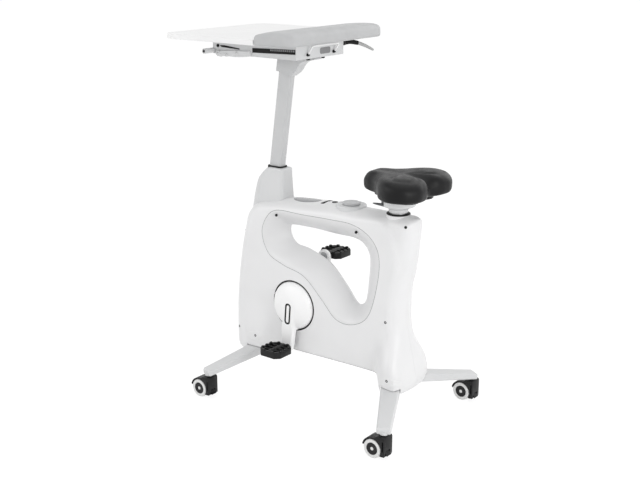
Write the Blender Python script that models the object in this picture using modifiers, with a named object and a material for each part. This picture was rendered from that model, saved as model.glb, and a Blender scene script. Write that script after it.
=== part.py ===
# Desk exercise bike: a pedalling base on four casters, with a desk on a leaning mast and a saddle.
# Metres. +X points to the back of the bike, +Y to the rider's right, +Z up. The origin is on the floor.

import math

import bmesh
import bpy
from mathutils import Matrix, Vector

for old in list(bpy.data.objects):
    bpy.data.objects.remove(old, do_unlink=True)

# Fits
TOUCH = 0.0003            # between pieces that rest on each other
RUN = 0.0004              # between a shaft and its bore, on the radius
SLIDE = 0.0006            # between a sliding tube and its guide
WALL = 0.003              # moulded wall of the casing
SEAM = 0.00015            # from the middle plane to each half of the casing

# Overall places
STEM_FRONT = -0.270       # caster stems, from the origin
STEM_REAR = 0.422
STEM_SIDE = 0.252
CRANK_X = -0.063
CRANK_Z = 0.311
WHEEL_X = 0.168           # flywheel axle
WHEEL_Z = 0.242
SEAT_X = 0.290
MAST_X = -0.177           # a point that the mast axis passes through
MAST_Z = 0.763
MAST_LEAN = math.radians(8.1)

# Casters
ROLL_RADIUS = 0.030
ROLL_WIDTH = 0.015
ROLL_OUTER = 0.022
ROLL_AXLE = 0.004
TRAIL = 0.027
HOOD_TOP = 0.075
HOOD_REACH = 0.016
STEM_RADIUS = 0.0055
STEM_TOP = 0.094
COLLAR_RADIUS = 0.011
COLLAR_HEIGHT = 0.002
TAB_WIDTH = 0.020
TAB_PIVOT = (0.011, 0.024)
TAB_TIP = (0.020, 0.015)
TAB_THICK = 0.004

# Legs
LEG_ROOT_SIDE = 0.090
LEG_ROOT_FRONT = -0.228
LEG_ROOT_REAR = 0.332
LEG_ROOT_WIDTH = 0.058
LEG_ROOT_TOP = 0.132
LEG_ROOT_THICK = 0.025
LEG_END_WIDTH = 0.043
LEG_END_TOP = 0.098
LEG_END_THICK = 0.020
LEG_PAST_STEM = 0.0105
LEG_NOTCH = 0.0010        # between a leg and the casing that it leaves
NOTCH_START = 0.036       # the notches under the casing start this far from the middle

# Main frame
SPINE_HALF = 0.015
SPINE_LOW = 0.158
SPINE_HIGH = 0.198
SPINE_FRONT = -0.255
SPINE_BACK = 0.330
MEMBER_LOW = 0.118
MEMBER_HIGH = 0.166
MEMBER_HALF = 0.0497
MEMBER_FRONT = (-0.262, -0.206)
MEMBER_REAR = (0.300, 0.330)
MAST_TUBE = (0.048, 0.028)
MAST_WALL = 0.004
GUIDE_WALL = 0.003
GUIDE_LOW = 0.128
GUIDE_FLOOR = 0.185
GUIDE_TOP = 0.726
MAST_LOW = 0.470
MAST_TOP = 1.085
MAST_TRAVEL = 0.200
SEAT_POST = 0.026
SEAT_WALL = 0.0045
SEAT_GUIDE_LOW = 0.161
SEAT_GUIDE_FLOOR = 0.172
SEAT_GUIDE_TOP = 0.638
POST_LOW = 0.390
POST_TOP = 0.711
SEAT_TRAVEL = 0.200
ROD_RADIUS = 0.004
GAS_RADIUS = 0.0095
GAS_OVERLAP = 0.012       # rod left in the gas cylinder when it is drawn out
GAS_LENGTH = 0.245
GAS_END = 0.012
SEAT_GAS_RADIUS = 0.014
SEAT_POST_WALL = 0.0045
BULKHEAD = 0.008
AXLE_RADIUS = 0.0085
AXLE_END = 0.086
CARTRIDGE_RADIUS = 0.0185
CARTRIDGE_HALF = 0.032
HUB_WALL = 0.006
HUB_HALF = 0.034
GUIDE_BORE = SLIDE
GUIDE_OUTER = SLIDE + GUIDE_WALL
HUB_BORE = CARTRIDGE_RADIUS + TOUCH
SEAT_BORE = SEAT_POST + SLIDE

# Flywheel, belt and brake
FLY_RADIUS = 0.069
FLY_SIDE = (0.0165, 0.034)
PULLEY_RADIUS = 0.080
SHEAVE_RADIUS = 0.016
BELT_SIDE = (0.038, 0.048)
BELT_THICK = 0.0022
FLY_AXLE = 0.006
FLY_AXLE_END = 0.051
SHOE_GAP = 0.010
SHOE_THICK = 0.008
BRAKE_X = 0.244
BRAKE_Z = 0.187
BRAKE_PIN = 0.005

# Casing, half-widths and outline
WIDTH_BASE = 0.056
WIDTH_MIDDLE = 0.012
WIDTH_BOOTS = {LEG_ROOT_FRONT: 0.020, LEG_ROOT_REAR: 0.040}
BOOT_REACH = 0.060
WIDTH_COLUMN = 0.048      # half-width of the seat column
ROUND_FRONT = 0.040
ROUND_REAR = 0.040
ROUND_REAR_LOW = 0.022     # where the casing reaches out over the rear legs
ROUND_TOP = 0.030
ROUND_BOTTOM = 0.010
FRONT_LINE = [(0.104, -0.322), (0.109, -0.331), (0.122, -0.338), (0.166, -0.340), (0.261, -0.338),
              (0.334, -0.332), (0.444, -0.316), (0.545, -0.293), (0.575, -0.284), (0.598, -0.274),
              (0.612, -0.268)]
REAR_LINE = [(0.104, 0.336), (0.108, 0.350), (0.120, 0.361), (0.151, 0.366), (0.207, 0.356),
             (0.275, 0.340), (0.337, 0.331), (0.434, 0.335), (0.500, 0.351), (0.594, 0.362),
             (0.640, 0.366), (0.662, 0.366)]
TOP_LINE = [(-0.290, 0.594), (-0.270, 0.606), (-0.227, 0.628), (-0.171, 0.640), (-0.121, 0.647),
            (0.000, 0.655), (0.080, 0.660), (0.170, 0.658), (0.240, 0.660), (0.330, 0.661),
            (0.352, 0.659), (0.370, 0.654)]
BOTTOM_LINE = [(-0.345, 0.104), (-0.215, 0.104), (-0.196, 0.108), (-0.165, 0.146), (-0.140, 0.152),
               (0.240, 0.152), (0.268, 0.146), (0.296, 0.108), (0.310, 0.104), (0.370, 0.104)]
COLUMN_LINE = [(0.161, 0.656), (0.245, 0.652), (0.282, 0.633), (0.307, 0.595), (0.323, 0.536),
               (0.327, 0.505)]
TOP_CUT = (0.560, 0.800)   # heights between which holes are cut through the top
EDGE = 3                   # grid steps round each rounded edge of the casing
BETWEEN_COLUMNS = (0.133, 0.173, 0.221, 0.333, 0.478, 0.622, 0.766, 0.862, 0.907, 0.952)
BETWEEN_ROWS = [k / 6 for k in range(1, 6)]
LAST_COLUMN = 2 * EDGE + len(BETWEEN_COLUMNS) + 1
LAST_ROW = 2 * EDGE + len(BETWEEN_ROWS) + 1

# Trim of the see-through opening: outline on the side of the casing, and the hole in the middle plane
TRIM_OUTER = [(-0.132, 0.617), (-0.020, 0.620), (0.080, 0.621), (0.166, 0.617), (0.230, 0.586),
              (0.261, 0.530), (0.255, 0.438), (0.224, 0.336), (0.168, 0.296), (0.105, 0.300),
              (0.048, 0.358), (-0.020, 0.419), (-0.100, 0.439), (-0.166, 0.465), (-0.196, 0.525),
              (-0.180, 0.580)]
TRIM_INNER = [(-0.112, 0.559), (-0.030, 0.561), (0.060, 0.558), (0.130, 0.557), (0.168, 0.542),
              (0.189, 0.505), (0.187, 0.440), (0.178, 0.368), (0.160, 0.346), (0.135, 0.353),
              (0.104, 0.391), (0.040, 0.455), (-0.040, 0.489), (-0.100, 0.498), (-0.124, 0.520),
              (-0.124, 0.550)]
TRIM_GAP = 0.0004
TRIM_DEPTH_POWER = 1.6
TRIM_STEPS = 3
TRIM_LAND = 0.07          # share of the funnel that lies flush with the casing
TRIM_AROUND = 32

# Cranks and pedals
DISC_RADIUS = 0.079
DISC_GAP = 0.002          # between the turning disc and the casing
DISC_FOOT = 0.060
DISC_CROWN = 0.095
COVER_SKIN = 0.003
ARM_SIDE = (0.079, 0.085)
ARM_LENGTH = 0.133
ARM_WIDTH = 0.028
COVER_SIDE = (0.0788, 0.095)
COVER_END = 0.022
COVER_SPREAD = 0.026
COVER_FADE = 0.040
ARM_TILT = math.radians(4.7)
SPINDLE_RADIUS = 0.006
PEDAL_SIZE = (0.084, 0.084, 0.025)
PEDAL_SIDE = 0.103
PEDAL_CORNER = 0.015

# Neck, collars and the console
NECK_FRONT = [(0.575, -0.284), (0.598, -0.278), (0.658, -0.266), (0.703, -0.251), (0.728, -0.226),
              (0.738, -0.213)]
NECK_LEVELS = (0.570, 0.610, 0.658, 0.700, 0.728)
NECK_REAR = -0.134
NECK_TOP = GUIDE_TOP + 0.016
NECK_HALF_LOW = 0.037
NECK_HALF_HIGH = 0.027
NECK_WALL = 0.0022
COLLAR_RIM = 0.003
COLLAR_RISE = 0.004
COLLAR_SLEEVE = SLIDE + 0.0016
SEAT_RING = 0.034
SEAT_RING_TOP = 0.6635
SEAT_HOLE = 0.0305
LENS_X = -0.055
LENS_SIZE = (0.105, 0.048)
BUTTON_X = 0.053
BUTTON_RADIUS = 0.009
BUTTON_TRAVEL = 0.0015
BUTTON_CUT = 0.640         # above the opening's trim
DISH_X = 0.116
DISH_RADIUS = 0.048
DISH_SKIN = 0.0018
KNOB_SEAT = 0.6625
KNOB_RADIUS = 0.0285
KNOB_HEIGHT = 0.008

# Desk
HEAD_SLEEVE_WALL = 0.0045
HEAD_LOW = MAST_TOP - 0.037
HEAD_PLATE_THICK = 0.005
HEAD_PLATE = (MAST_TOP + 0.013, MAST_TOP + 0.013 + HEAD_PLATE_THICK)
HEAD_PLATE_X = (-0.225, -0.075)
HEAD_PLATE_HALF = 0.060
TRAY_X = (-0.340, -0.005)
TRAY_HALF = 0.117
TRAY_WALL = 0.0045
TRAY_DEPTH = 0.0427
TRAY_Z = (HEAD_PLATE[1] + TOUCH, HEAD_PLATE[1] + TOUCH + TRAY_DEPTH)
TRAY_FLOOR = 0.004
RAIL_SIDE = (0.098, 0.108)
RAIL_X = (-0.270, -0.075)
FRAME_PLATE_X = (-0.300, 0.040)
FRAME_PLATE_HALF = 0.150
FRAME_PLATE_OVER = TRAY_Z[1] + 0.0037
FRAME_PLATE_THICK = 0.003
FRAME_PLATE_Z = (FRAME_PLATE_OVER, FRAME_PLATE_OVER + FRAME_PLATE_THICK)
DESK_TRAVEL = 0.060
BOARD_X = (-0.4441, -0.069)
BOARD_HALF = 0.238
BOARD_THICK = 0.016
BOARD_Z = (FRAME_PLATE_Z[1] + TOUCH, FRAME_PLATE_Z[1] + TOUCH + BOARD_THICK)
BOARD_CORNER = 0.045
PAD_BACK = 0.065
PAD_HALF = BOARD_HALF - 0.002
PAD_THICK = 0.047
CROSS_TUBE = 0.007
CROSS_WALL = 0.0015
CROSS_END = 0.162          # how far the tube reaches from the middle plane
BAIL_WIRE = 0.0022
BAIL_HALF = 0.067
LEVER_HINGE = (TRAY_X[1] - 0.004, TRAY_HALF + 0.004, TRAY_Z[1] - 0.009)
BAIL_HINGE = (TRAY_X[1] + 0.004, 0.0, TRAY_Z[0] + 0.0127)

# Saddle
CLAMP_Z = (POST_TOP - 0.040, POST_TOP + 0.001)
BASE_THICK = 0.0117
BASE_Z = (CLAMP_Z[1] + TOUCH, CLAMP_Z[1] + TOUCH + BASE_THICK)
CLAMP_RADII = (0.031, 0.052)
CLAMP_FLARE = 0.015
SADDLE_THICK = 0.0667
SADDLE_LOW = BASE_Z[1] + TOUCH
SADDLE_TOP = SADDLE_LOW + SADDLE_THICK
SADDLE_OUTLINE = [(0.171, 0.000), (0.178, 0.023), (0.200, 0.038), (0.231, 0.052), (0.264, 0.081),
                  (0.300, 0.122), (0.345, 0.143), (0.392, 0.128), (0.417, 0.088), (0.415, 0.045),
                  (0.398, 0.014)]
SEAT_LEVER_ROOT = Vector((SEAT_X - 0.013, -0.0265, CLAMP_Z[0] + 0.016))
SEAT_LEVER_TIP = Vector((SEAT_X - 0.049, -0.060, CLAMP_Z[0] + 0.022))
LEVER_HALF = 0.006
LEVER_THICK = 0.004
LEVER_FLARE = 1.35         # width of the lever's tip, as a share of its root


def mix(a, b, t):
    """The value a share t of the way from a to b."""
    return a + (b - a) * t


def along(points, t):
    """Straight-line reading of a table of (position, value) points."""
    if t <= points[0][0]:
        return points[0][1]
    for (t0, v0), (t1, v1) in zip(points, points[1:]):
        if t <= t1:
            return mix(v0, v1, (t - t0) / (t1 - t0))
    return points[-1][1]


def closed_curve(points, count):
    """Evenly spaced points on a smooth closed curve through the given ones."""
    n = len(points)
    fine = []
    for i in range(n):
        p0, p1, p2, p3 = (Vector(points[(i + k) % n]) for k in (-1, 0, 1, 2))
        for step in range(12):
            t = step / 12
            fine.append(0.5 * (2 * p1 + (p2 - p0) * t + (2 * p0 - 5 * p1 + 4 * p2 - p3) * t * t
                               + (3 * p1 - p0 - 3 * p2 + p3) * t ** 3))
    return [fine[round(k * len(fine) / count) % len(fine)] for k in range(count)]


def smooth_line(points, steps):
    """A smooth open curve through the given points, with a number of steps between each pair."""
    ends = [2 * Vector(points[0]) - Vector(points[1])] + [Vector(p) for p in points]
    ends.append(2 * Vector(points[-1]) - Vector(points[-2]))
    line = []
    for i in range(len(points) - 1):
        p0, p1, p2, p3 = ends[i:i + 4]
        for step in range(steps):
            t = step / steps
            line.append(0.5 * (2 * p1 + (p2 - p0) * t + (2 * p0 - 5 * p1 + 4 * p2 - p3) * t * t
                               + (3 * p1 - p0 - 3 * p2 + p3) * t ** 3))
    line.append(Vector(points[-1]))
    return line


# Collections and materials
BIKE = bpy.data.collections.new("desk_exercise_bike")
CUTTERS = bpy.data.collections.new("cutters")
bpy.context.scene.collection.children.link(BIKE)
bpy.context.scene.collection.children.link(CUTTERS)


def material(name, colour, roughness, metallic=0.0):
    made = bpy.data.materials.new(name)
    made.use_nodes = True
    shader = made.node_tree.nodes["Principled BSDF"]
    shader.inputs["Base Color"].default_value = (*colour, 1.0)
    shader.inputs["Roughness"].default_value = roughness
    shader.inputs["Metallic"].default_value = metallic
    return made


SHELL_WHITE = material("shell_white", (0.82, 0.82, 0.82), 0.35)
TRIM_WHITE = material("trim_white", (0.78, 0.78, 0.79), 0.35)
NECK_GREY = material("neck_grey", (0.66, 0.67, 0.68), 0.35)
FRAME_WHITE = material("frame_white", (0.74, 0.75, 0.76), 0.40)
BLACK_PLASTIC = material("black_plastic", (0.015, 0.015, 0.015), 0.45)
BLACK_FOAM = material("black_foam", (0.018, 0.018, 0.018), 0.60)
GREY_FOAM = material("grey_foam", (0.52, 0.525, 0.53), 0.60)
PALE_TYRE = material("pale_tyre", (0.72, 0.72, 0.71), 0.55)
GREY_PLASTIC = material("grey_plastic", (0.35, 0.36, 0.37), 0.40)
STEEL = material("steel", (0.55, 0.56, 0.57), 0.30, 1.0)
CAST_IRON = material("cast_iron", (0.12, 0.12, 0.13), 0.55, 1.0)
RUBBER = material("rubber", (0.02, 0.02, 0.02), 0.70)
DARK_GLASS = material("dark_glass", (0.05, 0.06, 0.07), 0.10)


# Making and joining pieces
def add_object(name, mesh, surface):
    """A new object: a part of the bike if it has a material, and otherwise a cutter."""
    made = bpy.data.objects.new(name, mesh)
    if surface:
        BIKE.objects.link(made)
        mesh.materials.append(surface)
    else:
        CUTTERS.objects.link(made)
        made.display_type = "WIRE"
        made.hide_render = True
    return made


def from_bmesh(name, shape, surface=None):
    mesh = bpy.data.meshes.new(name)
    shape.to_mesh(mesh)
    shape.free()
    mesh.shade_smooth()
    mesh.set_sharp_from_angle(angle=math.radians(35))
    return add_object(name, mesh, surface)


def point_along(made, start, end):
    """Lay an object's own Z axis from start to end, centred between them."""
    start, end = Vector(start), Vector(end)
    turn = (end - start).to_track_quat("Z", "Y").to_matrix().to_4x4()
    made.matrix_world = Matrix.Translation((start + end) / 2) @ turn
    return made


def box(name, low, high, surface=None):
    shape = bmesh.new()
    bmesh.ops.create_cube(shape, size=1.0)
    for vert in shape.verts:
        vert.co = [mix(low[i], high[i], vert.co[i] + 0.5) for i in range(3)]
    return from_bmesh(name, shape, surface)


def cylinder(name, start, end, radius, surface=None, segments=24, end_radius=None):
    shape = bmesh.new()
    bmesh.ops.create_cone(shape, cap_ends=True, segments=segments, radius1=radius,
                          radius2=radius if end_radius is None else end_radius,
                          depth=(Vector(end) - Vector(start)).length)
    return point_along(from_bmesh(name, shape, surface), start, end)


def across(name, x, z, side, reach, radius, surface=None, segments=24):
    """A cylinder along Y, from one distance to another on one side of the middle plane."""
    return cylinder(name, (x, side * reach[0], z), (x, side * reach[1], z), radius, surface, segments)


def turned(name, profile, origin, direction, surface=None, steps=24):
    """A turned piece: its profile of (radius, height) points runs down the outer side."""
    shape = bmesh.new()
    verts = [shape.verts.new((radius, 0.0, height)) for radius, height in profile]
    ring = verts + verts[:1] if profile[0][0] > 0 else verts
    for first, second in zip(ring, ring[1:]):
        shape.edges.new((first, second))
    made = from_bmesh(name, shape, surface)
    screw = made.modifiers.new("turn", "SCREW")
    screw.steps = screw.render_steps = steps
    screw.use_merge_vertices = True
    screw.merge_threshold = 0.00001
    turn = Vector(direction).to_track_quat("Z", "Y").to_matrix().to_4x4()
    made.matrix_world = Matrix.Translation(origin) @ turn
    return made


def as_mesh(made, surface):
    """The same object as a mesh, with a curve's loose caps welded."""
    name = made.name
    placed = made.matrix_world.copy()
    bpy.context.view_layer.update()
    mesh = bpy.data.meshes.new_from_object(made.evaluated_get(bpy.context.evaluated_depsgraph_get()))
    bpy.data.objects.remove(made, do_unlink=True)
    shape = bmesh.new()
    shape.from_mesh(mesh)
    bpy.data.meshes.remove(mesh)
    bmesh.ops.remove_doubles(shape, verts=shape.verts, dist=0.00001)
    shape.normal_update()
    bmesh.ops.recalc_face_normals(shape, faces=shape.faces)
    solid = from_bmesh(name, shape, surface)
    solid.name = name
    solid.matrix_world = placed
    return solid


def curve_object(name, outlines, dimensions, closed):
    curve = bpy.data.curves.new(name, "CURVE")
    curve.dimensions = dimensions
    for outline in outlines:
        spline = curve.splines.new("POLY")
        spline.points.add(len(outline) - 1)
        for point, place in zip(spline.points, outline):
            point.co = (*Vector(place).to_3d(), 1.0)
        spline.use_cyclic_u = closed
    made = bpy.data.objects.new(name, curve)
    CUTTERS.objects.link(made)
    return made


def plate(name, outlines, low, high, surface=None):
    """A flat piece: closed outlines in X and Y, from one height to another."""
    made = curve_object(name, outlines, "2D", True)
    made.data.fill_mode = "BOTH"
    made.data.extrude = (high - low) / 2
    made.matrix_world = Matrix.Translation((0.0, 0.0, (low + high) / 2))
    return as_mesh(made, surface)


def side_plate(name, outlines, low, high, surface=None):
    """A flat piece that stands upright: closed outlines in X and Z, between two values of Y."""
    made = curve_object(name, outlines, "2D", True)
    made.data.fill_mode = "BOTH"
    made.data.extrude = abs(high - low) / 2
    upright = Matrix.Rotation(math.radians(90), 4, "X")
    made.matrix_world = Matrix.Translation((0.0, (low + high) / 2, 0.0)) @ upright
    return as_mesh(made, surface)


def wire(name, points, radius, surface=None, resolution=1):
    made = curve_object(name, [points], "3D", False)
    made.data.bevel_depth = radius
    made.data.bevel_resolution = resolution
    made.data.use_fill_caps = True
    return as_mesh(made, surface)


def loft(name, rings, surface=None, capped=True):
    """A skin through rings that hold as many points each, listed against the clock from outside."""
    shape = bmesh.new()
    rows = [[shape.verts.new(point) for point in ring] for ring in rings]
    count = len(rows[0])
    for lower, upper in zip(rows, rows[1:]):
        for i in range(count):
            k = (i + 1) % count
            shape.faces.new((lower[i], lower[k], upper[k], upper[i]))
    if capped:
        shape.faces.new(rows[0][::-1])
        shape.faces.new(rows[-1])
    return from_bmesh(name, shape, surface)


def combine(target, tool, operation):
    step = target.modifiers.new(tool.name[:40], "BOOLEAN")
    step.operation = operation
    step.object = tool


def cut(target, *tools):
    for tool in tools:
        combine(target, tool, "DIFFERENCE")
    return target


def join(target, *tools):
    for tool in tools:
        combine(target, tool, "UNION")
    return target


def round_edges(target, width, segments=2, angle=40):
    step = target.modifiers.new("rounded edges", "BEVEL")
    step.width = width
    step.segments = segments
    step.limit_method = "ANGLE"
    step.angle_limit = math.radians(angle)
    step.use_clamp_overlap = True
    return target


def thicken(target, thickness):
    """Give an open surface its wall, on the side that its faces turn away from."""
    step = target.modifiers.new("wall", "SOLIDIFY")
    step.thickness = thickness
    step.offset = -1.0
    return target


def joint_empty(name, place, *pieces):
    """An empty on a joint's axis, which carries the pieces that move on it."""
    empty = bpy.data.objects.new(name, None)
    BIKE.objects.link(empty)
    empty.location = place
    bpy.context.view_layer.update()
    for piece in pieces:
        carry(empty, piece)
    return empty


def carry(parent, piece):
    piece.parent = parent
    piece.matrix_parent_inverse = parent.matrix_world.inverted()


def rounded_rectangle(low_x, high_x, half_width, corner, steps=4):
    """Outline points round a rectangle with round corners, about the X axis."""
    outline = []
    near, far, flank = low_x + corner, high_x - corner, half_width - corner
    for cx, cy, start in ((far, flank, 0), (near, flank, 90), (near, -flank, 180), (far, -flank, 270)):
        for step in range(steps + 1):
            a = math.radians(start + 90 * step / steps)
            outline.append((cx + corner * math.cos(a), cy + corner * math.sin(a)))
    return outline


def finished_mesh(made):
    """The mesh of an object with all its steps done, for pieces that come in several copies."""
    bpy.context.view_layer.update()
    mesh = bpy.data.meshes.new_from_object(made.evaluated_get(bpy.context.evaluated_depsgraph_get()))
    mesh.transform(made.matrix_world)
    bpy.data.objects.remove(made, do_unlink=True)
    return mesh


def copy_of(name, mesh, place):
    made = bpy.data.objects.new(name, mesh)
    BIKE.objects.link(made)
    made.location = place
    return made


# The leaning frame of the mast: its own Z runs up the mast
MAST = Matrix.Translation((MAST_X, 0.0, MAST_Z)) @ Matrix.Rotation(MAST_LEAN, 4, "Y")
MAST_UP = MAST.to_3x3() @ Vector((0.0, 0.0, 1.0))


def up_mast(height):
    """The distance along the mast axis of a height above the floor."""
    return (height - MAST_Z) / math.cos(MAST_LEAN)


def mast_axis_x(height):
    return MAST_X + (height - MAST_Z) * math.tan(MAST_LEAN)


def mast_box(name, grow, low, high, surface=None):
    """A box round the mast axis, larger than the mast tube by a margin on each side."""
    half_x = MAST_TUBE[0] / 2 + grow
    half_y = MAST_TUBE[1] / 2 + grow
    made = box(name, (-half_x, -half_y, up_mast(low)), (half_x, half_y, up_mast(high)), surface)
    made.matrix_world = MAST
    return made


# Casters
def caster_hood():
    hub = Vector((-TRAIL, ROLL_RADIUS))
    roof = ROLL_RADIUS + 0.0055
    outline = [hub + roof * Vector((math.cos(math.radians(a)), math.sin(math.radians(a))))
               for a in (165, 142, 119, 96)]
    outline += [(-COLLAR_RADIUS, HOOD_TOP - 0.0015), (0.010, HOOD_TOP), (HOOD_REACH, HOOD_TOP - 0.006),
                (HOOD_REACH, 0.014), hub + Vector((0.012, -0.018)), hub + Vector((-0.012, -0.016)),
                hub + Vector((-0.026, -0.004))]
    hood = side_plate("hood", [outline], -ROLL_OUTER, ROLL_OUTER, BLACK_PLASTIC)
    web = ROLL_OUTER - ROLL_WIDTH - RUN
    for side in (-1, 1):
        room = across("wheel room", hub.x, hub.y, side, (web, 0.040), ROLL_RADIUS + 0.002, segments=14)
        cut(hood, room)
    cut(hood, across("hub bore", hub.x, hub.y, 1, (-0.030, 0.030), ROLL_AXLE + RUN, segments=8))
    slot = TAB_WIDTH / 2 + RUN
    cut(hood, box("tab slot", (TAB_PIVOT[0] - 0.0055, -slot, 0.0), (0.040, slot, TAB_PIVOT[1] + 0.007)))
    cut(hood, across("tab bore", *TAB_PIVOT, 1, (-0.0133, 0.0133), 0.0024, segments=8))
    join(hood, cylinder("collar", (0, 0, HOOD_TOP - 0.006), (0, 0, HOOD_TOP + COLLAR_HEIGHT), COLLAR_RADIUS,
                        segments=12))
    join(hood, cylinder("stem", (0, 0, HOOD_TOP - 0.004), (0, 0, STEM_TOP), STEM_RADIUS, segments=12))
    return finished_mesh(hood)


def caster_roller():
    edge = 0.0015
    inner = ROLL_OUTER - ROLL_WIDTH
    side = [(ROLL_RADIUS - edge, ROLL_OUTER), (ROLL_RADIUS, ROLL_OUTER - edge), (ROLL_RADIUS, inner),
            (ROLL_AXLE, inner)]
    profile = [(0.0, ROLL_OUTER)] + side + [(r, -h) for r, h in reversed(side)] + [(0.0, -ROLL_OUTER)]
    return finished_mesh(turned("roller", profile, (0, 0, 0), (0, 1, 0), PALE_TYRE, 16))


def brake_tab():
    run = Vector(TAB_TIP) - Vector(TAB_PIVOT)
    across_run = Vector((-run.y, run.x)).normalized() * TAB_THICK / 2
    tip = Vector(TAB_TIP)
    pivot = Vector(TAB_PIVOT)
    outline = [pivot - across_run, tip - across_run, tip + across_run, pivot + across_run]
    tab = side_plate("tab", [outline], -TAB_WIDTH / 2, TAB_WIDTH / 2, BLACK_PLASTIC)
    join(tab, across("tab barrel", *TAB_PIVOT, 1, (-TAB_WIDTH / 2 + 0.0004, TAB_WIDTH / 2 - 0.0004), 0.004,
                     segments=12))
    join(tab, across("tab pin", *TAB_PIVOT, 1, (-0.013, 0.013), 0.002, segments=8))
    return finished_mesh(tab)


def make_casters():
    hood, roller, tab = caster_hood(), caster_roller(), brake_tab()
    for end, stem_x in (("front", STEM_FRONT), ("rear", STEM_REAR)):
        for hand, side in (("left", -1), ("right", 1)):
            name = end + "_" + hand + "_caster"
            place = Vector((stem_x, side * STEM_SIDE, 0.0))
            hub = place + Vector((-TRAIL, 0.0, ROLL_RADIUS))
            pivot = place + Vector((TAB_PIVOT[0], 0.0, TAB_PIVOT[1]))
            housing = copy_of(name + "_housing", hood, place)
            swivel = joint_empty(name + "_swivel", place, housing)
            rolling = joint_empty(name + "_axle", hub, copy_of(name + "_wheel", roller, hub))
            braking = joint_empty(name + "_brake", pivot, copy_of(name + "_brake_tab", tab, place))
            carry(swivel, rolling)
            carry(swivel, braking)


# Legs
def leg_corners(root_x, stem_x, side, grow, drop, inner):
    """The eight corners of a leg: inner and outer end, each side, bottom and top."""
    root = Vector((root_x, side * LEG_ROOT_SIDE))
    stem = Vector((stem_x, side * STEM_SIDE))
    heading = (stem - root).normalized()
    square = Vector((-heading.y, heading.x))
    end = stem + heading * LEG_PAST_STEM
    corners = {}
    for flank in (-1, 1):
        start = root + square * flank * (LEG_ROOT_WIDTH / 2 + grow)
        stop = end + square * flank * (LEG_END_WIDTH / 2 + grow)
        first = (side * inner - start.y) / (stop.y - start.y)
        for near, q in ((-1, first), (1, 1.0)):
            place = start.lerp(stop, q)
            top = mix(LEG_ROOT_TOP, LEG_END_TOP, q)
            thick = mix(LEG_ROOT_THICK, LEG_END_THICK, q)
            corners[near, flank, -1] = (place.x, place.y, top - thick - drop)
            corners[near, flank, 1] = (place.x, place.y, top + grow)
    return corners


def leg_block(name, root_x, stem_x, side, surface=None, grow=0.0, drop=0.0,
              inner=MEMBER_HALF + TOUCH):
    corners = leg_corners(root_x, stem_x, side, grow, drop, inner)
    shape = bmesh.new()
    bmesh.ops.create_cube(shape, size=2.0)
    for vert in shape.verts:
        vert.co = corners[tuple(round(c) for c in vert.co)]
    shape.normal_update()
    bmesh.ops.recalc_face_normals(shape, faces=shape.faces)
    return from_bmesh(name, shape, surface)


def make_legs():
    for end, root_x, stem_x in (("front", LEG_ROOT_FRONT, STEM_FRONT), ("rear", LEG_ROOT_REAR, STEM_REAR)):
        for hand, side in (("left", -1), ("right", 1)):
            name = end + "_" + hand + "_leg"
            leg = leg_block(name, root_x, stem_x, side, FRAME_WHITE)
            round_edges(leg, 0.004, 1)
            seat = HOOD_TOP + COLLAR_HEIGHT + TOUCH
            foot = Vector((stem_x, side * STEM_SIDE, seat))
            join(leg, cylinder(name + " boss", foot, foot + Vector((0, 0, 0.010)), COLLAR_RADIUS + 0.002,
                               segments=16))
            socket_top = STEM_TOP + TOUCH
            cut(leg, cylinder(name + " socket", (foot.x, foot.y, seat - 0.020), (foot.x, foot.y, socket_top),
                              STEM_RADIUS + RUN, segments=12))


# Main frame
def make_frame():
    frame = box("main_frame", (SPINE_FRONT, -SPINE_HALF, SPINE_LOW), (SPINE_BACK, SPINE_HALF, SPINE_HIGH),
                FRAME_WHITE)
    for name, span in (("front member", MEMBER_FRONT), ("rear member", MEMBER_REAR)):
        join(frame, box(name, (span[0], -MEMBER_HALF, MEMBER_LOW), (span[1], MEMBER_HALF, MEMBER_HIGH)))
    join(frame, mast_box("mast guide", GUIDE_OUTER, GUIDE_LOW, GUIDE_TOP))
    join(frame, cylinder("seat guide", (SEAT_X, 0, SEAT_GUIDE_LOW), (SEAT_X, 0, SEAT_GUIDE_TOP),
                         SEAT_BORE + SEAT_WALL))
    join(frame, box("crank post", (CRANK_X - 0.014, -0.012, SPINE_HIGH - 0.006),
                    (CRANK_X + 0.014, 0.012, CRANK_Z - HUB_BORE)))
    join(frame, across("crank hub", CRANK_X, CRANK_Z, 1, (-HUB_HALF, HUB_HALF), HUB_BORE + HUB_WALL))
    join(frame, box("flywheel bracket", (WHEEL_X - 0.018, -0.010, SPINE_HIGH - 0.006),
                    (WHEEL_X + 0.018, 0.010, WHEEL_Z + 0.018)))
    join(frame, across("brake stud", BRAKE_X, BRAKE_Z, 1, (0.010, FLY_SIDE[1]), BRAKE_PIN, segments=20))
    cut(frame, mast_box("mast bore", GUIDE_BORE, GUIDE_FLOOR, 0.800))
    cut(frame, cylinder("seat bore", (SEAT_X, 0, SEAT_GUIDE_FLOOR), (SEAT_X, 0, 0.700), SEAT_BORE))
    cut(frame, across("crank bore", CRANK_X, CRANK_Z, 1, (-0.050, 0.050), HUB_BORE))
    cut(frame, across("axle bore", WHEEL_X, WHEEL_Z, 1, (-0.030, 0.030), FLY_AXLE + TOUCH, segments=24))
    return frame


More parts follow.
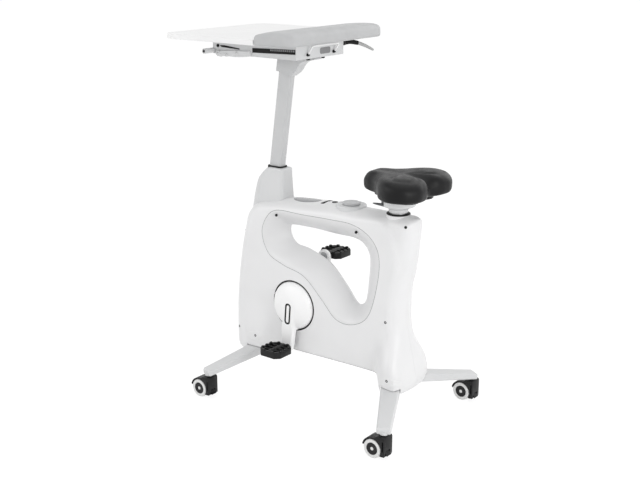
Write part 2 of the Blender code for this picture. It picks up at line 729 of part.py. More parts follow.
def gas_spring(prefix, placed, floor, low, rise, radius):
    """A gas spring on its own Z axis: its rod stands on a floor, and its cylinder rises with the tube."""
    rod_top = low + rise + GAS_OVERLAP
    rod = cylinder(prefix + "_gas_rod", (0, 0, floor + TOUCH), (0, 0, rod_top), ROD_RADIUS, STEEL, 20)
    body = cylinder(prefix + "_gas_cylinder", (0, 0, low), (0, 0, low + GAS_LENGTH), radius, BLACK_PLASTIC)
    bore = cylinder(prefix + " gas bore", (0, 0, low - 0.010), (0, 0, low + GAS_LENGTH - GAS_END),
                    ROD_RADIUS + RUN, segments=20)
    for piece in (rod, body, bore):
        piece.matrix_world = placed @ piece.matrix_world
    return cut(body, bore)


def make_mast():
    """The sliding mast with its gas spring, the head on top, and the slide tray on the head."""
    tube = mast_box("mast_tube", 0.0, MAST_LOW, MAST_TOP, NECK_GREY)
    round_edges(tube, 0.006, 3)
    low = up_mast(MAST_LOW)
    stop = low + GAS_LENGTH + TOUCH
    open_end = up_mast(MAST_TOP) + 0.020
    half_x, half_y = MAST_TUBE[0] / 2 - MAST_WALL, MAST_TUBE[1] / 2 - MAST_WALL
    for name, span in (("lower bore", (low - 0.010, stop)), ("upper bore", (stop + BULKHEAD, open_end))):
        bore = box(name, (-half_x, -half_y, span[0]), (half_x, half_y, span[1]))
        bore.matrix_world = MAST
        cut(tube, bore)
    gas = gas_spring("mast", MAST, up_mast(GUIDE_FLOOR), low, 0.0, GAS_RADIUS)

    head = mast_box("mast_head", SLIDE + HEAD_SLEEVE_WALL, HEAD_LOW, HEAD_PLATE[0] - 0.003, NECK_GREY)
    top = plate("head plate", [rounded_rectangle(*HEAD_PLATE_X, HEAD_PLATE_HALF, 0.012)], *HEAD_PLATE)
    rear = mast_axis_x(HEAD_LOW) + MAST_TUBE[0] / 2
    gusset = smooth_line([(rear, HEAD_LOW - 0.010), (rear + 0.022, HEAD_LOW + 0.006),
                          (rear + 0.048, HEAD_LOW + 0.036), (rear + 0.098, HEAD_PLATE[0] - 0.002)], 4)
    gusset += [(rear + 0.098, HEAD_PLATE[0] + 0.002), (rear, HEAD_PLATE[0] + 0.002)]
    join(head, top, side_plate("gusset", [gusset], -0.019, 0.019))
    cut(head, mast_box("head bore", TOUCH, HEAD_LOW - 0.050, MAST_TOP + 0.0008))

    tray = box("slide_tray", (TRAY_X[0], -TRAY_HALF, TRAY_Z[0]), (TRAY_X[1], TRAY_HALF, TRAY_Z[1]),
               FRAME_WHITE)
    inside = TRAY_HALF - TRAY_WALL
    cut(tray, box("tray inside", (TRAY_X[0] - 0.010, -inside, TRAY_Z[0] + TRAY_FLOOR),
                  (TRAY_X[1] - TRAY_WALL, inside, TRAY_Z[1] + 0.010)))
    tube_z = TRAY_Z[0] + 0.010
    tube_x = TRAY_X[0] + 0.003
    join(tray, across("cross tube", tube_x, tube_z, -1, (inside - 0.006, CROSS_END), CROSS_TUBE))
    cut(tray, across("cross tube bore", tube_x, tube_z, -1, (TRAY_HALF + 0.004, CROSS_END + 0.010),
                     CROSS_TUBE - CROSS_WALL))

    lever = height_lever()
    bail = slide_bail()
    mast = joint_empty("mast_slide", MAST.translation, tube, gas, head, tray)
    for piece in (lever, bail):
        carry(mast, piece)
    return mast


def height_lever():
    """The curved release lever beside the tray, with its root in a sleeve."""
    x, y, z = LEVER_HINGE
    route = smooth_line([(x, y, z), (x + 0.006, y + 0.022, z + 0.002), (x + 0.020, y + 0.050, z - 0.002),
                         (x + 0.036, y + 0.075, z - 0.012), (x + 0.050, y + 0.092, z - 0.026)], 4)
    lever = wire("height_lever", route, 0.0050, GREY_PLASTIC)
    join(lever, cylinder("lever root", (x, y - 0.0035, z), (x, y + 0.018, z), 0.0085, segments=24))
    return joint_empty("height_lever_pivot", LEVER_HINGE, lever)


def slide_bail():
    """The wire bail behind the tray."""
    x, y, z = BAIL_HINGE
    corner = 0.010
    outline = [(x, -BAIL_HALF + 0.003, z), (x + 0.014, -BAIL_HALF, z + 0.020)]
    for a in (0, 45, 90):
        turn = math.radians(a)
        outline.append((x + 0.019, -BAIL_HALF + corner * (1 - math.cos(turn)),
                        z + 0.018 + corner * math.sin(turn)))
    route = outline + [(px, -py, pz) for px, py, pz in reversed(outline)]
    bail = wire("slide_bail", route, BAIL_WIRE, FRAME_WHITE)
    for side in (-1, 1):
        foot = side * (BAIL_HALF - 0.003)
        join(bail, cylinder("bail foot", (x, foot - 0.005, z), (x, foot + 0.005, z), 0.0036, segments=16))
    return joint_empty("slide_bail_pivot", BAIL_HINGE, bail)


def make_desk(mast):
    """The desk: slide frame with its two rails, board and wrist pad."""
    frame = plate("desk_slide_frame", [rounded_rectangle(*FRAME_PLATE_X, FRAME_PLATE_HALF, 0.015)],
                  *FRAME_PLATE_Z, FRAME_WHITE)
    rail_low = TRAY_Z[0] + TRAY_FLOOR + TOUCH
    for side in (-1, 1):
        near, far = sorted((side * RAIL_SIDE[0], side * RAIL_SIDE[1]))
        join(frame, box("rail", (RAIL_X[0], near, rail_low), (RAIL_X[1], far, FRAME_PLATE_Z[0] + 0.001)))
    outline = rounded_rectangle(BOARD_X[0], BOARD_X[1] + BOARD_CORNER, BOARD_HALF, BOARD_CORNER, 6)
    outline = [(min(x, BOARD_X[1] - TOUCH), y) for x, y in outline]
    outline = [p for i, p in enumerate(outline) if p != outline[i - 1]]
    board = plate("desk_board", [outline], *BOARD_Z, SHELL_WHITE)
    round_edges(board, 0.004, 1, 60)
    pad = wrist_pad()
    desk = joint_empty("desk_slide", (BOARD_X[1], 0.0, BOARD_Z[0]), frame, board, pad)
    carry(mast, desk)


def wrist_pad():
    """The soft pad along the back edge: a crowned bar whose ends draw in."""
    depth = (PAD_BACK - BOARD_X[1]) / 2
    height = PAD_THICK / 2
    shape = bmesh.new()
    bmesh.ops.create_cube(shape, size=2.0)
    long_edges = [e for e in shape.edges if abs(e.verts[0].co.y - e.verts[1].co.y) > 1]
    bmesh.ops.subdivide_edges(shape, edges=long_edges, cuts=5, use_grid_fill=True)
    rest = [e for e in shape.edges if abs(e.verts[0].co.y - e.verts[1].co.y) < 0.01]
    bmesh.ops.subdivide_edges(shape, edges=rest, cuts=3, use_grid_fill=True)
    for vert in shape.verts:
        x, y, z = vert.co
        reach = abs(y)
        end = max(0.0, (reach - 0.75) / 0.25)
        crown = 1.0 - 0.16 * x * x - 0.35 * max(0.0, -x) ** 3
        crown = mix(crown, crown * 0.80, end ** 2)
        top = mix(-1.0, 2 * crown - 1.0, (z + 1) / 2)
        vert.co = (BOARD_X[1] + depth * (1 + x * (1 - 0.06 * end * end)), PAD_HALF * y,
                   BOARD_Z[0] + height * (top + 1))
    pad = from_bmesh("wrist_pad", shape, GREY_FOAM)
    round_edges(pad, 0.008, 2, 40)
    return pad


def make_seat():
    """The sliding seat post with its gas spring, clamp, base, cushion and lever."""
    axis = Matrix.Translation((SEAT_X, 0.0, 0.0))
    post = cylinder("seat_post", (SEAT_X, 0, POST_LOW), (SEAT_X, 0, POST_TOP), SEAT_POST, STEEL)
    gas = gas_spring("seat", axis, SEAT_GUIDE_FLOOR, POST_LOW, SEAT_TRAVEL, SEAT_GAS_RADIUS)
    bore_top = POST_LOW + GAS_LENGTH + TOUCH
    cut(post, cylinder("post bore", (SEAT_X, 0, POST_LOW - 0.010), (SEAT_X, 0, bore_top),
                       SEAT_POST - SEAT_POST_WALL))
    clamp = turned("seat_clamp", [(CLAMP_RADII[1], CLAMP_Z[1]), (CLAMP_RADII[1], CLAMP_Z[0] + CLAMP_FLARE),
                                  (CLAMP_RADII[0], CLAMP_Z[0]), (SEAT_POST + TOUCH, CLAMP_Z[0]),
                                  (SEAT_POST + TOUCH, CLAMP_Z[1])],
                   (SEAT_X, 0, 0), (0, 0, 1), FRAME_WHITE, 24)
    base_outline = [(mix(SEAT_X, x, 0.70), 0.56 * y) for x, y in SADDLE_OUTLINE]
    base_outline += [(x, -y) for x, y in reversed(base_outline) if y > 0]
    base = plate("saddle_base", [closed_curve(base_outline, 30)], *BASE_Z, BLACK_PLASTIC)
    cushion = saddle_cushion()
    lever = seat_lever()
    cut(clamp, seat_lever_slot())
    seat = joint_empty("seat_slide", (SEAT_X, 0.0, POST_LOW), post, gas, clamp, base, cushion)
    carry(seat, lever)


def saddle_cushion():
    """The saddle: a crowned form with a nose, two lobes, a groove along the middle and a notch behind."""
    outline = SADDLE_OUTLINE + [(x, -y) for x, y in reversed(SADDLE_OUTLINE) if y > 0]
    around = 20
    edge = closed_curve(outline, around)
    middle = Vector((0.300, 0.0))
    levels = [(0.00, 1.00), (0.43, 1.00), (0.78, 0.95), (0.99, 0.75), (1.06, 0.43), (1.02, 0.14),
              (0.88, 0.00), (0.00, 0.00)]
    shape = bmesh.new()
    bmesh.ops.create_uvsphere(shape, u_segments=around, v_segments=len(levels) - 1, radius=1.0)
    bmesh.ops.reverse_faces(shape, faces=shape.faces)
    for vert in shape.verts:
        row = round(math.acos(max(-1.0, min(1.0, vert.co.z))) / math.pi * (len(levels) - 1))
        share, height = levels[row]
        turn = math.atan2(vert.co.y, vert.co.x) / (2 * math.pi) * around
        place = middle.lerp(edge[round(turn + around / 2) % around], share)
        crown = saddle_crown(place.x, place.y) if height > 0.3 else 1.0
        vert.co = (place.x, place.y, mix(SADDLE_LOW, SADDLE_TOP, height * crown))
    shape.normal_update()
    bmesh.ops.recalc_face_normals(shape, faces=shape.faces)
    cushion = from_bmesh("saddle_cushion", shape, BLACK_FOAM)
    smooth = cushion.modifiers.new("soft form", "SUBSURF")
    smooth.levels = smooth.render_levels = 1
    return cushion


def saddle_crown(x, y):
    """Height of the saddle's top over its base, as a share: lower on the nose and in the groove."""
    nose = max(0.0, min(1.0, (0.300 - x) / 0.130))
    groove = math.exp(-(y / 0.016) ** 2) * (0.05 + 0.10 * max(0.0, min(1.0, (x - 0.250) / 0.120)))
    return 1.0 - 0.05 * nose ** 2 - groove


def lever_matrix():
    """The lever's own frame: X runs from its root to its tip, Y is its hinge axis."""
    run = (SEAT_LEVER_TIP - SEAT_LEVER_ROOT).normalized()
    hinge = Vector((0, 0, 1)).cross(run).normalized()
    up = run.cross(hinge)
    turn = Matrix((run, hinge, up)).transposed().to_4x4()
    return Matrix.Translation(SEAT_LEVER_ROOT) @ turn


def seat_lever():
    length = (SEAT_LEVER_TIP - SEAT_LEVER_ROOT).length
    lever = box("seat_lever", (-0.002, -LEVER_HALF, -LEVER_THICK / 2), (length, LEVER_HALF, LEVER_THICK / 2),
                GREY_PLASTIC)
    for vert in lever.data.vertices:
        if vert.co.x > 0:
            vert.co.y *= LEVER_FLARE
    round_edges(lever, 0.0015, 2)
    lever.matrix_world = lever_matrix()
    return joint_empty("seat_lever_pivot", SEAT_LEVER_ROOT, lever)


def seat_lever_slot():
    margin = 0.0007
    half = LEVER_HALF * LEVER_FLARE + margin
    slot = box("lever slot", (-0.004, -half, -LEVER_THICK / 2 - margin), (0.040, half, 0.020))
    slot.matrix_world = lever_matrix()
    return slot


# Casing
def smoothstep(t):
    t = max(0.0, min(1.0, t))
    return t * t * (3 - 2 * t)


def casing_width(x, z):
    """Half-width of the casing away from its rounded edges."""
    width = WIDTH_BASE + WIDTH_MIDDLE * math.exp(-((x + 0.040) / 0.190) ** 2)
    low = smoothstep((0.300 - z) / 0.120)
    for boot_x, boot_width in WIDTH_BOOTS.items():
        width += boot_width * math.exp(-((x - boot_x) / BOOT_REACH) ** 4) * low
    column_x = along(sorted((row, column) for column, row in COLUMN_LINE), z)
    column = smoothstep((x - column_x + 0.008) / 0.016) * smoothstep((z - 0.470) / 0.035)
    return mix(width, WIDTH_COLUMN, column)


def rounded(distance, radius):
    """Share of the full width at a distance from the outline, on a rounded edge."""
    inward = max(0.0, 1.0 - max(distance, 0.0) / radius)
    return math.sqrt(1.0 - inward * inward)


def edge_steps(radius, steps):
    """Distances from the outline at even turns round a rounded edge."""
    return [radius * (1 - math.cos(math.radians(90 * k / steps))) for k in range(steps + 1)]


def spread(low, high, first, last, between):
    """Places from low to high: rounded edge, the given shares of what is between, rounded edge."""
    start = [low + d for d in first]
    end = [high - d for d in reversed(last)]
    return start + [mix(start[-1], end[0], share) for share in between] + end


def casing_point(column, row):
    """A point of the casing's side: its place along and up, and its distance from the middle plane."""
    front, rear = edge_steps(ROUND_FRONT, EDGE), edge_steps(ROUND_REAR, EDGE)
    low, high = edge_steps(ROUND_BOTTOM, EDGE), edge_steps(ROUND_TOP, EDGE)
    x, z = 0.0, 0.400
    for _ in range(8):
        x = spread(along(FRONT_LINE, z), along(REAR_LINE, z), front, rear, BETWEEN_COLUMNS)[column]
        z = spread(along(BOTTOM_LINE, x), along(TOP_LINE, x), low, high, BETWEEN_ROWS)[row]
    rim = column in (0, LAST_COLUMN) or row in (0, LAST_ROW)
    return x, 0.0 if rim else casing_side(x, z), z


def casing_side(x, z):
    """The casing's distance from the middle plane at any place on its side."""
    rear_radius = mix(ROUND_REAR_LOW, ROUND_REAR, smoothstep((z - 0.150) / 0.150))
    share = rounded(x - along(FRONT_LINE, z), ROUND_FRONT) * rounded(along(REAR_LINE, z) - x, rear_radius)
    share *= rounded(along(TOP_LINE, x) - z, ROUND_TOP) * rounded(z - along(BOTTOM_LINE, x), ROUND_BOTTOM)
    return casing_width(x, z) * share


def casing_skin(name, side, grow=0.0, surface=None):
    """The outer skin of one half of the casing: a grid laid over its side, moved out by a margin."""
    shape = bmesh.new()
    bmesh.ops.create_grid(shape, x_segments=LAST_COLUMN, y_segments=LAST_ROW, size=1.0)
    bmesh.ops.triangulate(shape, faces=shape.faces, quad_method="FIXED")
    for vert in shape.verts:
        column = round((vert.co.x + 1) / 2 * LAST_COLUMN)
        row = round((vert.co.y + 1) / 2 * LAST_ROW)
        x, y, z = casing_point(column, row)
        vert.co = (x, side * y, z)
    if side > 0:
        bmesh.ops.reverse_faces(shape, faces=shape.faces)
    shape.normal_update()
    for vert in shape.verts:
        out = vert.normal.copy()
        if vert.is_boundary:
            out.y = 0.0
        vert.co += out.normalized() * grow
    return from_bmesh(name, shape, surface)


def casing_volume(name, grow):
    """The whole casing as a solid, a margin larger all round, to seat pieces on its surface."""
    volume = casing_skin(name, -1, grow)
    mirror = volume.modifiers.new("other half", "MIRROR")
    mirror.use_axis = (False, True, False)
    mirror.use_mirror_merge = True
    mirror.merge_threshold = 0.00001
    return volume


def trim_outline(points, grow):
    """A trim outline as points round its loop, moved outwards by a margin."""
    loop = closed_curve(points, TRIM_AROUND)
    moved = []
    for i, point in enumerate(loop):
        tangent = (loop[(i + 1) % len(loop)] - loop[i - 1]).normalized()
        moved.append(point + Vector((-tangent.y, tangent.x)) * grow)
    return moved


def make_casing():
    """Both halves of the casing, cut for the opening, crank disc, legs, mast, seat and button."""
    shell = casing_skin("shell", 1, 0.0, SHELL_WHITE)
    thicken(shell, WALL)
    opening = side_plate("opening", [trim_outline(TRIM_OUTER, TRIM_GAP)], -0.150, 0.150)
    disc_hole = across("disc hole", CRANK_X, CRANK_Z, 1, (0.040, 0.120), DISC_RADIUS + DISC_GAP, segments=32)
    notches = [leg_block("leg notch", root_x, stem_x, 1, None, LEG_NOTCH, 0.030, NOTCH_START)
               for root_x, stem_x in ((LEG_ROOT_FRONT, STEM_FRONT), (LEG_ROOT_REAR, STEM_REAR))]
    seat_hole = cylinder("seat hole", (SEAT_X, 0, TOP_CUT[0]), (SEAT_X, 0, TOP_CUT[1]), SEAT_HOLE)
    button_hole = cylinder("button hole", (BUTTON_X, 0, BUTTON_CUT), (BUTTON_X, 0, TOP_CUT[1]),
                           BUTTON_RADIUS + RUN)
    mast_hole = mast_box("mast hole", GUIDE_OUTER + 0.0015, *TOP_CUT)
    cut(shell, middle_block("other half"), opening, disc_hole, *notches, seat_hole, button_hole, mast_hole)
    mirrored_pair("shell", shell)
    mirrored_pair("opening_trim", opening_trim())


def middle_block(name):
    """Everything past the middle plane, seen from the right."""
    return box(name, (-0.500, -0.200, 0.0), (0.500, SEAM, 0.800))


def mirrored_pair(name, made):
    """A right-hand piece, and its mirror image on the left."""
    right = finished_mesh(made)
    left = right.copy()
    left.transform(Matrix.Scale(-1.0, 4, (0.0, 1.0, 0.0)))
    left.flip_normals()
    copy_of("right_" + name, right, (0, 0, 0))
    copy_of("left_" + name, left, (0, 0, 0))


def opening_trim():
    """The funnel that lines the see-through opening, on the right-hand side."""
    outer = trim_outline(TRIM_OUTER, 0.0)
    inner = trim_outline(TRIM_INNER, 0.0)
    rings = []
    for step in range(TRIM_STEPS + 2):
        share = TRIM_LAND if step == 1 else max(step - 1, 0) / TRIM_STEPS
        depth = 1.0 if step < 2 else 1.0 - share ** TRIM_DEPTH_POWER
        ring = []
        for edge, hole in zip(outer, inner):
            place = edge.lerp(hole, share)
            ring.append((place.x, casing_side(*edge) * depth, place.y))
        rings.append(ring)
    trim = loft("trim", rings[::-1], TRIM_WHITE, False)
    thicken(trim, -WALL)
    return cut(trim, middle_block("other half of trim"))


def make_neck():
    outer = [neck_ring(z, 0.0) for z in (*NECK_LEVELS, NECK_TOP)]
    inner = [neck_ring(z, NECK_WALL) for z in (TOP_CUT[0], *NECK_LEVELS[1:])]
    inner.append([(x, y, NECK_TOP - NECK_WALL) for x, y, _ in neck_ring(NECK_TOP, NECK_WALL)])
    neck = loft("neck_cover", outer, NECK_GREY)
    cut(neck, loft("neck inside", inner), casing_volume("casing under neck", TOUCH),
        mast_box("neck hole", COLLAR_SLEEVE + TOUCH, NECK_LEVELS[-2], TOP_CUT[1]))
    height = NECK_TOP + TOUCH
    centre = mast_axis_x(height + COLLAR_RISE / 2)
    half_x = MAST_TUBE[0] / 2 + COLLAR_SLEEVE + COLLAR_RIM
    half_y = MAST_TUBE[1] / 2 + COLLAR_SLEEVE + COLLAR_RIM
    rim = rounded_rectangle(centre - half_x, centre + half_x, half_y, 0.009)
    collar = plate("mast_collar", [rim], height, height + COLLAR_RISE, RUBBER)
    join(collar, mast_box("collar sleeve", COLLAR_SLEEVE, GUIDE_TOP + TOUCH, height + 0.001))
    cut(collar, mast_box("collar bore", SLIDE, NECK_LEVELS[-2], TOP_CUT[1]))


def neck_ring(z, shrink):
    """One level of the neck cover: round in front, with small corners behind."""
    front = along(NECK_FRONT, z) + shrink
    rear = NECK_REAR - shrink
    half = mix(NECK_HALF_LOW, NECK_HALF_HIGH, smoothstep((z - 0.600) / 0.140)) - shrink
    nose = min(0.040, half)
    corner = 0.012 - shrink
    ring = []
    for k in range(11):
        a = math.radians(90 + 18 * k)
        ring.append((front + nose + nose * math.cos(a), half * math.sin(a), z))
    for start, flank in ((270, -1), (0, 1)):
        for k in range(4):
            a = math.radians(start + 30 * k)
            ring.append((rear - corner + corner * math.cos(a),
                         flank * (half - corner) + corner * math.sin(a), z))
    return ring


def make_console():
    """Pieces on the top of the casing: display lens, mode button, and the resistance knob in its dish."""
    seated = casing_volume("casing surface", TOUCH)
    raised = casing_volume("casing surface raised", TOUCH + DISH_SKIN)
    oval = [(LENS_X + LENS_SIZE[0] / 2 * math.cos(math.radians(10 * k)),
             LENS_SIZE[1] / 2 * math.sin(math.radians(10 * k))) for k in range(36)]
    lens = plate("display_lens", [oval], *TOP_CUT, DARK_GLASS)
    dish = cylinder("knob_dish", (DISH_X, 0, TOP_CUT[0]), (DISH_X, 0, TOP_CUT[1]), DISH_RADIUS, TRIM_WHITE)
    for piece in (lens, dish):
        combine(piece, raised, "INTERSECT")
        cut(piece, seated)
    knob_seat = cylinder("knob seat", (DISH_X, 0, TOP_CUT[0]), (DISH_X, 0, KNOB_SEAT), KNOB_RADIUS + 0.003)
    cut(knob_seat, seated)
    join(dish, knob_seat)
    knob_low = KNOB_SEAT + TOUCH
    knob = cylinder("resistance_knob", (DISH_X, 0, knob_low), (DISH_X, 0, knob_low + KNOB_HEIGHT),
                    KNOB_RADIUS, TRIM_WHITE, 28, KNOB_RADIUS - 0.002)
    round_edges(knob, 0.0015, 1)
    joint_empty("knob_turn", (DISH_X, 0, KNOB_SEAT), knob)
    button_top = along(TOP_LINE, BUTTON_X) + BUTTON_TRAVEL + 0.0005
    button = cylinder("mode_button", (BUTTON_X, 0, button_top - 0.010), (BUTTON_X, 0, button_top),
                      BUTTON_RADIUS, GREY_PLASTIC, 28)
    joint_empty("button_press", (BUTTON_X, 0, button_top), button)
    ring = cylinder("seat_collar", (SEAT_X, 0, TOP_CUT[0]), (SEAT_X, 0, SEAT_RING_TOP), SEAT_RING, RUBBER)
    cut(ring, seated)
    join(ring, cylinder("seat sleeve", (SEAT_X, 0, SEAT_GUIDE_TOP + TOUCH),
                        (SEAT_X, 0, SEAT_RING_TOP - 0.001), SEAT_HOLE - RUN))
    cut(ring, cylinder("seat collar bore", (SEAT_X, 0, TOP_CUT[0]), (SEAT_X, 0, TOP_CUT[1]), SEAT_BORE))


# Cranks and drive
def arm_place(side, d, w):
    """A place on a crank arm, by its distances along and across the arm."""
    run = Vector((math.sin(ARM_TILT), math.cos(ARM_TILT))) * side
    return Vector((CRANK_X, CRANK_Z)) + run * d + Vector((-run.y, run.x)) * w


def arm_outline(side, start_half, half_at, steps):
    """Outline of an arm: a round start, flanks of a given half-width, and a round end at the pedal."""
    outline = []
    for k in range(7):
        a = math.radians(90 + 30 * k)
        outline.append((start_half * math.cos(a), start_half * math.sin(a)))
    flank = [(ARM_LENGTH * k / steps, half_at(ARM_LENGTH * k / steps)) for k in range(1, steps)]
    end = half_at(ARM_LENGTH)
    outline += [(d, -w) for d, w in flank]
    for k in range(7):
        a = math.radians(-90 + 30 * k)
        outline.append((ARM_LENGTH + end * math.cos(a), end * math.sin(a)))
    outline += [(d, w) for d, w in reversed(flank)]
    return [arm_place(side, d, w) for d, w in outline]


def make_cranks():
    axle = across("crank_axle", CRANK_X, CRANK_Z, 1, (-AXLE_END, AXLE_END), AXLE_RADIUS, STEEL)
    cartridge = [(CARTRIDGE_RADIUS, CARTRIDGE_HALF), (CARTRIDGE_RADIUS, -CARTRIDGE_HALF),
                 (AXLE_RADIUS + RUN, -CARTRIDGE_HALF), (AXLE_RADIUS + RUN, CARTRIDGE_HALF)]
    turned("crank_cartridge", cartridge, (CRANK_X, 0, CRANK_Z), (0, 1, 0), STEEL)
    crank = joint_empty("crank_spin", (CRANK_X, 0, CRANK_Z), axle, make_pulley())
    for hand, side in (("left", -1), ("right", 1)):
        bar_half = ARM_WIDTH / 2
        arm = side_plate(hand + "_crank_arm", [arm_outline(side, bar_half, lambda d: bar_half, 2)],
                         side * ARM_SIDE[0], side * ARM_SIDE[1], STEEL)
        pedal_x, pedal_z = arm_place(side, ARM_LENGTH, 0.0)
        cut(arm, across("axle eye", CRANK_X, CRANK_Z, side, (0.070, 0.095), AXLE_RADIUS + TOUCH),
            across("spindle eye", pedal_x, pedal_z, side, (0.070, 0.095), SPINDLE_RADIUS + TOUCH))
        cover = make_cover(hand, side, pedal_x, pedal_z)
        spindle = across(hand + "_pedal_spindle", pedal_x, pedal_z, side,
                         (ARM_SIDE[0], PEDAL_SIDE + PEDAL_SIZE[1] - 0.004), SPINDLE_RADIUS, STEEL, 24)
        for piece in (arm, cover, spindle):
            carry(crank, piece)
        pedal = make_pedal(hand, side, pedal_x, pedal_z)
        carry(crank, joint_empty(hand + "_pedal_spin", (pedal_x, side * PEDAL_SIDE, pedal_z), pedal))


def make_cover(hand, side, pedal_x, pedal_z):
    """The moulded cover of one crank: a domed disc with the arm's cover flowing out of it."""
    dome = [(0.0, DISC_CROWN), (0.040, DISC_CROWN - 0.003), (0.062, DISC_CROWN - 0.010),
            (0.074, DISC_CROWN - 0.020), (DISC_RADIUS, DISC_CROWN - 0.028), (DISC_RADIUS, DISC_FOOT)]
    inside = [(0.0, DISC_CROWN - COVER_SKIN)]
    inside += [(r - COVER_SKIN, h - COVER_SKIN) for r, h in (dome[2], dome[4])]
    profile = dome + [(DISC_RADIUS - COVER_SKIN, DISC_FOOT)] + inside[::-1]
    cover = turned(hand + "_crank_cover", profile, (CRANK_X, 0, CRANK_Z), (0, side, 0), SHELL_WHITE, 20)

    def flank(d):
        return COVER_END + COVER_SPREAD * math.exp(-d / COVER_FADE)

    blade = side_plate("arm cover", [arm_outline(side, flank(0.0), flank, 6)], side * COVER_SIDE[0],
                       side * COVER_SIDE[1])
    round_edges(blade, 0.005, 1, 60)
    join(cover, blade)
    room = ARM_WIDTH / 2 + RUN
    pocket = side_plate("arm pocket", [arm_outline(side, room, lambda d: room, 2)], side * 0.050,
                        side * (ARM_SIDE[1] + TOUCH))
    cut(cover, pocket)
    cut(cover, across("axle pocket", CRANK_X, CRANK_Z, side, (0.050, AXLE_END + TOUCH), AXLE_RADIUS + RUN,
                      segments=16))
    cut(cover, across("spindle hole", pedal_x, pedal_z, side, (0.070, 0.110), SPINDLE_RADIUS + RUN,
                      segments=16))
    return cover


def make_pedal(hand, side, x, z):
    half, width, height = PEDAL_SIZE[0] / 2, PEDAL_SIZE[1], PEDAL_SIZE[2]
    near, far = side * PEDAL_SIDE, side * (PEDAL_SIDE + width)
    low, high = min(near, far), max(near, far)
    c = PEDAL_CORNER
    outline = [(x + half, low + c), (x + half, high - c), (x + half - c, high), (x - half + c, high),
               (x - half, high - c), (x - half, low + c), (x - half + c, low), (x + half - c, low)]
    pedal = plate(hand + "_pedal", [outline], z - height / 2, z + height / 2, BLACK_PLASTIC)
    round_edges(pedal, 0.003, 1)
    reach = (PEDAL_SIDE - 0.010, PEDAL_SIDE + width - 0.003)
    return cut(pedal, across(hand + " pedal bore", x, z, side, reach, SPINDLE_RADIUS + RUN, segments=16))


def make_pulley():
    low, high = BELT_SIDE[0] - 0.001, BELT_SIDE[1] + 0.001
    rim, hub, bore = PULLEY_RADIUS - 0.008, 0.014, AXLE_RADIUS + TOUCH
    web = high - 0.006
    profile = [(PULLEY_RADIUS, high), (PULLEY_RADIUS, low), (bore, low), (bore, high), (hub, high),
               (hub, web), (rim, web), (rim, high)]
    return turned("drive_pulley", profile, (CRANK_X, 0, CRANK_Z), (0, 1, 0), GREY_PLASTIC, 24)


def make_flywheel():
    bore = FLY_AXLE + RUN
    hub, rim = 0.014, FLY_RADIUS - 0.017
    low, high = FLY_SIDE
    web = high - 0.005
    profile = [(SHEAVE_RADIUS, BELT_SIDE[1]), (SHEAVE_RADIUS, web), (rim, web), (rim, high),
               (FLY_RADIUS, high), (FLY_RADIUS, low), (hub, low), (hub, 0.0105), (bore, 0.0105),
               (bore, BELT_SIDE[1])]
    wheel = turned("flywheel", profile, (WHEEL_X, 0, WHEEL_Z), (0, 1, 0), CAST_IRON, 20)
    joint_empty("flywheel_spin", (WHEEL_X, 0, WHEEL_Z), wheel)
    across("flywheel_axle", WHEEL_X, WHEEL_Z, 1, (-0.010, FLY_AXLE_END), FLY_AXLE, STEEL, 24)


def belt_loop(offset):
    """The belt's line round both pulleys, at a distance from their rims."""
    crank, wheel = Vector((CRANK_X, CRANK_Z)), Vector((WHEEL_X, WHEEL_Z))
    run = wheel - crank
    heading = math.atan2(run.y, run.x)
    large, small = PULLEY_RADIUS + offset, SHEAVE_RADIUS + offset
    wrap = math.acos((large - small) / run.length)
    loop = []
    for centre, radius, start, stop, steps in ((crank, large, wrap, 2 * math.pi - wrap, 26),
                                               (wheel, small, -wrap, wrap, 8)):
        for k in range(steps + 1):
            a = heading + mix(start, stop, k / steps)
            loop.append(centre + radius * Vector((math.cos(a), math.sin(a))))
    return loop


def make_belt():
    side_plate("drive_belt", [belt_loop(TOUCH + BELT_THICK), belt_loop(TOUCH)], *BELT_SIDE, RUBBER)


def make_brake():
    """The magnet bracket: a shoe round the flywheel's rim, on a pivot behind it."""
    inner = FLY_RADIUS + SHOE_GAP
    outline = []
    for radius, order in ((inner, range(-36, 29, 8)), (inner + SHOE_THICK, range(28, -37, -8))):
        for degrees in order:
            a = math.radians(degrees)
            outline.append((WHEEL_X + radius * math.cos(a), WHEEL_Z + radius * math.sin(a)))
    low, high = FLY_SIDE[0] + 0.001, FLY_SIDE[1] - 0.001
    bracket = side_plate("magnet_bracket", [outline], low, high, STEEL)
    join(bracket, across("brake eye", BRAKE_X, BRAKE_Z, 1, (low, high), BRAKE_PIN + 0.006, segments=24))
    cut(bracket, across("brake eye bore", BRAKE_X, BRAKE_Z, 1, (0.0, 0.060), BRAKE_PIN + RUN, segments=20))
    joint_empty("magnet_swing", (BRAKE_X, 0, BRAKE_Z), bracket)


make_frame()
make_legs()
make_casters()
make_casing()
make_neck()
make_console()
make_cranks()
make_flywheel()
make_belt()
make_brake()
make_desk(make_mast())
make_seat()
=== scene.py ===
# Studio scene of the desk exercise bike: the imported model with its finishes, soft parts and fine details.
# Metres, in the model's own frame: +X to the back of the bike, +Y to the rider's right, +Z up.

import math

import bmesh
import bpy
from mathutils import Matrix, Vector


